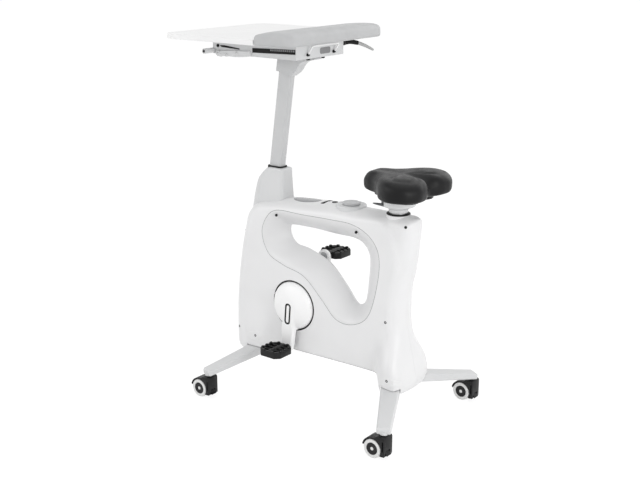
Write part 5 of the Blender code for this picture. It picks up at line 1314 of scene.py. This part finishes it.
HOUSING_BOSSES = [(-0.312, 1.1075, 0.0070), (-0.277, 1.1035, 0.0052), (-0.236, 1.1120, 0.0042)]
BOSS_PROFILE = [(0.0, 0.0016), (0.35, 0.0016), (0.45, 0.0036), (0.85, 0.0034), (1.0, 0.0022), (1.0, -0.0020),
                (0.0, -0.0020)]      # radii as shares of the boss's own
BACK_SLOT = [(-0.026, 1.1425), (-0.026, 1.1400), (0.074, 1.1365), (0.074, 1.1390)]
# Painted shade: a flat grey patch on the tray's back, for its dark inside between the bail's feet
BACK_SHADE = (-0.0020, 0.0490, 0.0095, 0.0060)     # its ends, half height and corner
BACK_SHADE_MIDDLE = 1.1225
STOP_PROFILE = [(0.0, 0.0040), (0.0038, 0.0040), (0.0048, 0.0032), (0.0048, -0.0010), (0.0, -0.0010)]
BOLT_PROFILE = [(0.0, -0.0062), (0.0052, -0.0062), (0.0062, -0.0052), (0.0062, 0.0010), (0.0, 0.0010)]
SLEEVE_PLACE = (-0.337, -0.1615, 1.1133)
SLEEVE_PROFILE = [(0.0050, 0.0), (0.0078, 0.0), (0.0082, 0.0006), (0.0082, 0.0425), (0.0072, 0.0430),
                  (0.0072, 0.0020), (0.0050, 0.0020), (0.0050, 0.0)]
MOUTH_PROFILE = [(0.0, 0.0016), (0.0050, 0.0016), (0.0050, 0.0040), (0.0, 0.0040)]
OUTWARDS = (0, -1, 0)
TRAY_PARTS = (
    ("tray_stop", STOP_PROFILE, (-0.3170, -TRAY_SIDE, 1.1285), OUTWARDS, black_rubber, 24, "black_rubber"),
    ("tray_bolt_0", BOLT_PROFILE, (-0.0190, -0.042, 1.1033), UP, black_plastic, 32, "black_plastic"),
    ("tray_bolt_1", BOLT_PROFILE, (-0.0190, 0.030, 1.1033), UP, black_plastic, 32, "black_plastic"),
    ("tube_sleeve", SLEEVE_PROFILE, SLEEVE_PLACE, ACROSS, frame_paint, 40, "frame_paint"),
    ("tube_mouth", MOUTH_PROFILE, SLEEVE_PLACE, ACROSS, black_rubber, 32, "black_rubber"),
)


def make_bail():
    """The bent wire under the board's back edge, and its two feet."""
    half = list(BAIL_FOOT)
    for left, risen in arc(0.0, 0.0, 1.0, 1.0, 15, 90, 5):
        shares = (risen, 1 - left, risen)
        half.append([start + reach * share for start, reach, share in zip(BAIL_FOOT[-1], BAIL_BEND, shares)])
    near = [(BAIL_PLACE[0] + x, -y, BAIL_PLACE[1] + z) for x, y, z in half]
    route = near + [(x, -y, z) for x, y, z in reversed(near)]
    made = tube("bail_wire", route, [BAIL_WIRE] * len(route), bright_wire, "bail", 16, up=(1, 0, 0.3))
    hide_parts("slide_bail")
    for hand, side in SIDES:
        place = (BAIL_PLACE[0], side * BAIL_FOOT[0][1], BAIL_PLACE[1])
        turned("bail_foot_" + hand, BAIL_FOOT_PROFILE, place, ACROSS, black_plastic, "bail", 24,
               slot="black_plastic")


def make_height_lever():
    """The lever at the tray's far corner: a sleeve round the first part of a bent, tapering rod."""
    route = [LEVER_PLACE + Vector(step) for step in LEVER_ROUTE]
    rod = tube("height_rod", route, LEVER_RADII, grip_grey, "height_lever_set", 20)
    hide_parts("height_lever")
    tube("height_grip", route[:GRIP_POINTS], [radius + GRIP_SKIN for radius in LEVER_RADII[:GRIP_POINTS]],
         black_rubber, "height_lever_set", 20, slot="black_rubber")
    turned("height_root", LEVER_ROOT_PROFILE, LEVER_PLACE, ACROSS, black_plastic, "height_lever_set", 32,
           slot="black_plastic")


def make_side_slots(hand, side):
    """The slots on one side wall of the tray, and the ribs in the longer one."""
    inside = side * (TRAY_SIDE - LET_IN)
    outside = side * (TRAY_SIDE + SIDE_LIFT)
    for name, outline in (("slot", SIDE_SLOT), ("wedge", WEDGE)):
        prism(f"{hand}_tray_{name}", outline, "y", inside, outside, black_rubber, "mast", "black_rubber")
    half, tall = RIB_SIZE
    crest = side * (TRAY_SIDE + RIB_LIFT)
    ribs = []
    for k in range(RIB_COUNT):
        x, z = (mix(*span, k / (RIB_COUNT - 1)) for span in (RIB_X, RIB_Z))
        ribs.append(block("rib", (x - half, inside, z), (x + half, crest, z + tall), shade_and_rib_grey))
    rail = block(hand + "_tray_ribs", (RIB_X[0] - RAIL_REACH, inside, RAIL_Z[0]),
                 (RIB_X[1] + RAIL_REACH, outside, RAIL_Z[1]), shade_and_rib_grey)
    join(rail, *ribs)
    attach(rail, "mast")


def make_tray_details():
    """What sits on the tray's walls: slots with ribs, a housing, a grey patch of painted shade, bolts and a
    tube end.
    """
    for hand, side in SIDES:
        make_side_slots(hand, side)
    housing = prism("tray_housing", HOUSING, "y", -HOUSING_FACE, LET_IN - TRAY_SIDE, frame_paint, "mast",
                    "frame_paint")
    soften(housing, 0.0022, 3)
    for k, (x, z, radius) in enumerate(HOUSING_BOSSES):
        profile = [(radius * share, height) for share, height in BOSS_PROFILE]
        turned(f"tray_boss_{k}", profile, (x, -HOUSING_FACE, z), OUTWARDS, frame_paint, "mast", 32,
               slot="frame_paint")
    for name, profile, place, direction, surface, steps, slot in TRAY_PARTS:
        turned(name, profile, place, direction, surface, "mast", steps, slot=slot)
    prism("tray_back_slot", BACK_SLOT, "x", TRAY_BACK - LET_IN, TRAY_BACK + 0.0006, black_plastic, "mast",
          "black_plastic")
    # Painted shade of the tray's dark inside: a flat grey patch on the back face
    outline = [(y, BACK_SHADE_MIDDLE + z) for y, z in rounded_box(*BACK_SHADE, BACK_SHADE[3], 6)]
    prism("tray_back_shade", outline, "x", TRAY_BACK - LET_IN, TRAY_BACK + 0.0007, shade_and_rib_grey, "mast",
          "grey_plastic")


# Floor, backdrop and light
WORLD_LIGHT = 0.62
LAMPS = (
    ("key", (-2.2, -2.6, 2.2), 2.2, 40.0),
    ("fill", (3.0, -0.9, 1.2), 1.6, 34.0),
    ("top", (0.2, 0.3, 3.4), 2.4, 15.0),
    ("back", (0.6, 3.0, 2.0), 2.2, 20.0),
)
LAMP_AIM = (0.0, 0.0, 0.6)


def seen_directly(tree):
    """1 for what the camera sees, also in reflections and through glass, and 0 for light on the object."""
    path = tree.nodes.new("ShaderNodeLightPath")
    share = path.outputs["Is Camera Ray"]
    for ray in ("Is Glossy Ray", "Is Transmission Ray"):
        either = tree.nodes.new("ShaderNodeMath")
        either.operation = "MAXIMUM"
        tree.links.new(share, either.inputs[0])
        tree.links.new(path.outputs[ray], either.inputs[1])
        share = either.outputs[0]
    return share


def blend(tree, share, first, second, target):
    """Feed a mix of two shaders into a socket."""
    made = tree.nodes.new("ShaderNodeMixShader")
    for source, socket in zip((share, first, second), made.inputs):
        tree.links.new(source, socket)
    tree.links.new(made.outputs[0], target)


def stage_surface(name, seen):
    """A plain pale surface that is white to the eye and in reflections, and keeps soft shadows."""
    made = Surface(name, (0.90, 0.90, 0.90), 0.9, specular=0.1)
    glow = made.node("ShaderNodeEmission", Strength=seen)
    share = made.node("ShaderNodeMath", operation="MULTIPLY")
    made.link(seen_directly(made.tree), share.inputs[0])
    share.inputs[1].default_value = 0.75
    blend(made.tree, share.outputs[0], made.shader.outputs[0], glow.outputs[0],
          made.tree.nodes["Material Output"].inputs[0])
    return made


def make_stage():
    bpy.ops.mesh.primitive_plane_add(size=60.0, location=(0.0, 0.0, -0.0005))
    floor = bpy.context.object
    floor.name = "floor"
    coat(floor, stage_surface("floor", 1.16))
    scene.world = bpy.data.worlds.new("studio")
    scene.world.use_nodes = True
    tree = scene.world.node_tree
    light, seen = tree.nodes["Background"], tree.nodes.new("ShaderNodeBackground")
    for back, strength in ((light, WORLD_LIGHT), (seen, 1.0)):
        back.inputs["Color"].default_value = (1.0, 1.0, 1.0, 1.0)
        back.inputs["Strength"].default_value = strength
    blend(tree, seen_directly(tree), light.outputs[0], seen.outputs[0], tree.nodes["World Output"].inputs[0])


def make_lights():
    for name, place, size, power in LAMPS:
        lamp = bpy.data.objects.new(name, bpy.data.lights.new(name, "AREA"))
        lamp.data.shape = "SQUARE"
        lamp.data.size = size
        lamp.data.energy = power
        lamp.location = place
        lamp.rotation_mode = "QUATERNION"
        lamp.rotation_quaternion = (Vector(LAMP_AIM) - Vector(place)).to_track_quat("-Z", "Y")
        scene.collection.objects.link(lamp)


scene.view_settings.view_transform = "Standard"
for make in (make_camera, make_stage, make_lights, dress_nodes, make_shells, make_trims, make_saddle,
             make_pad, make_covers, make_pedals, make_casters, make_side_details, make_neck,
             make_seat_fittings, make_console, make_bail, make_height_lever, make_tray_details):
    make()
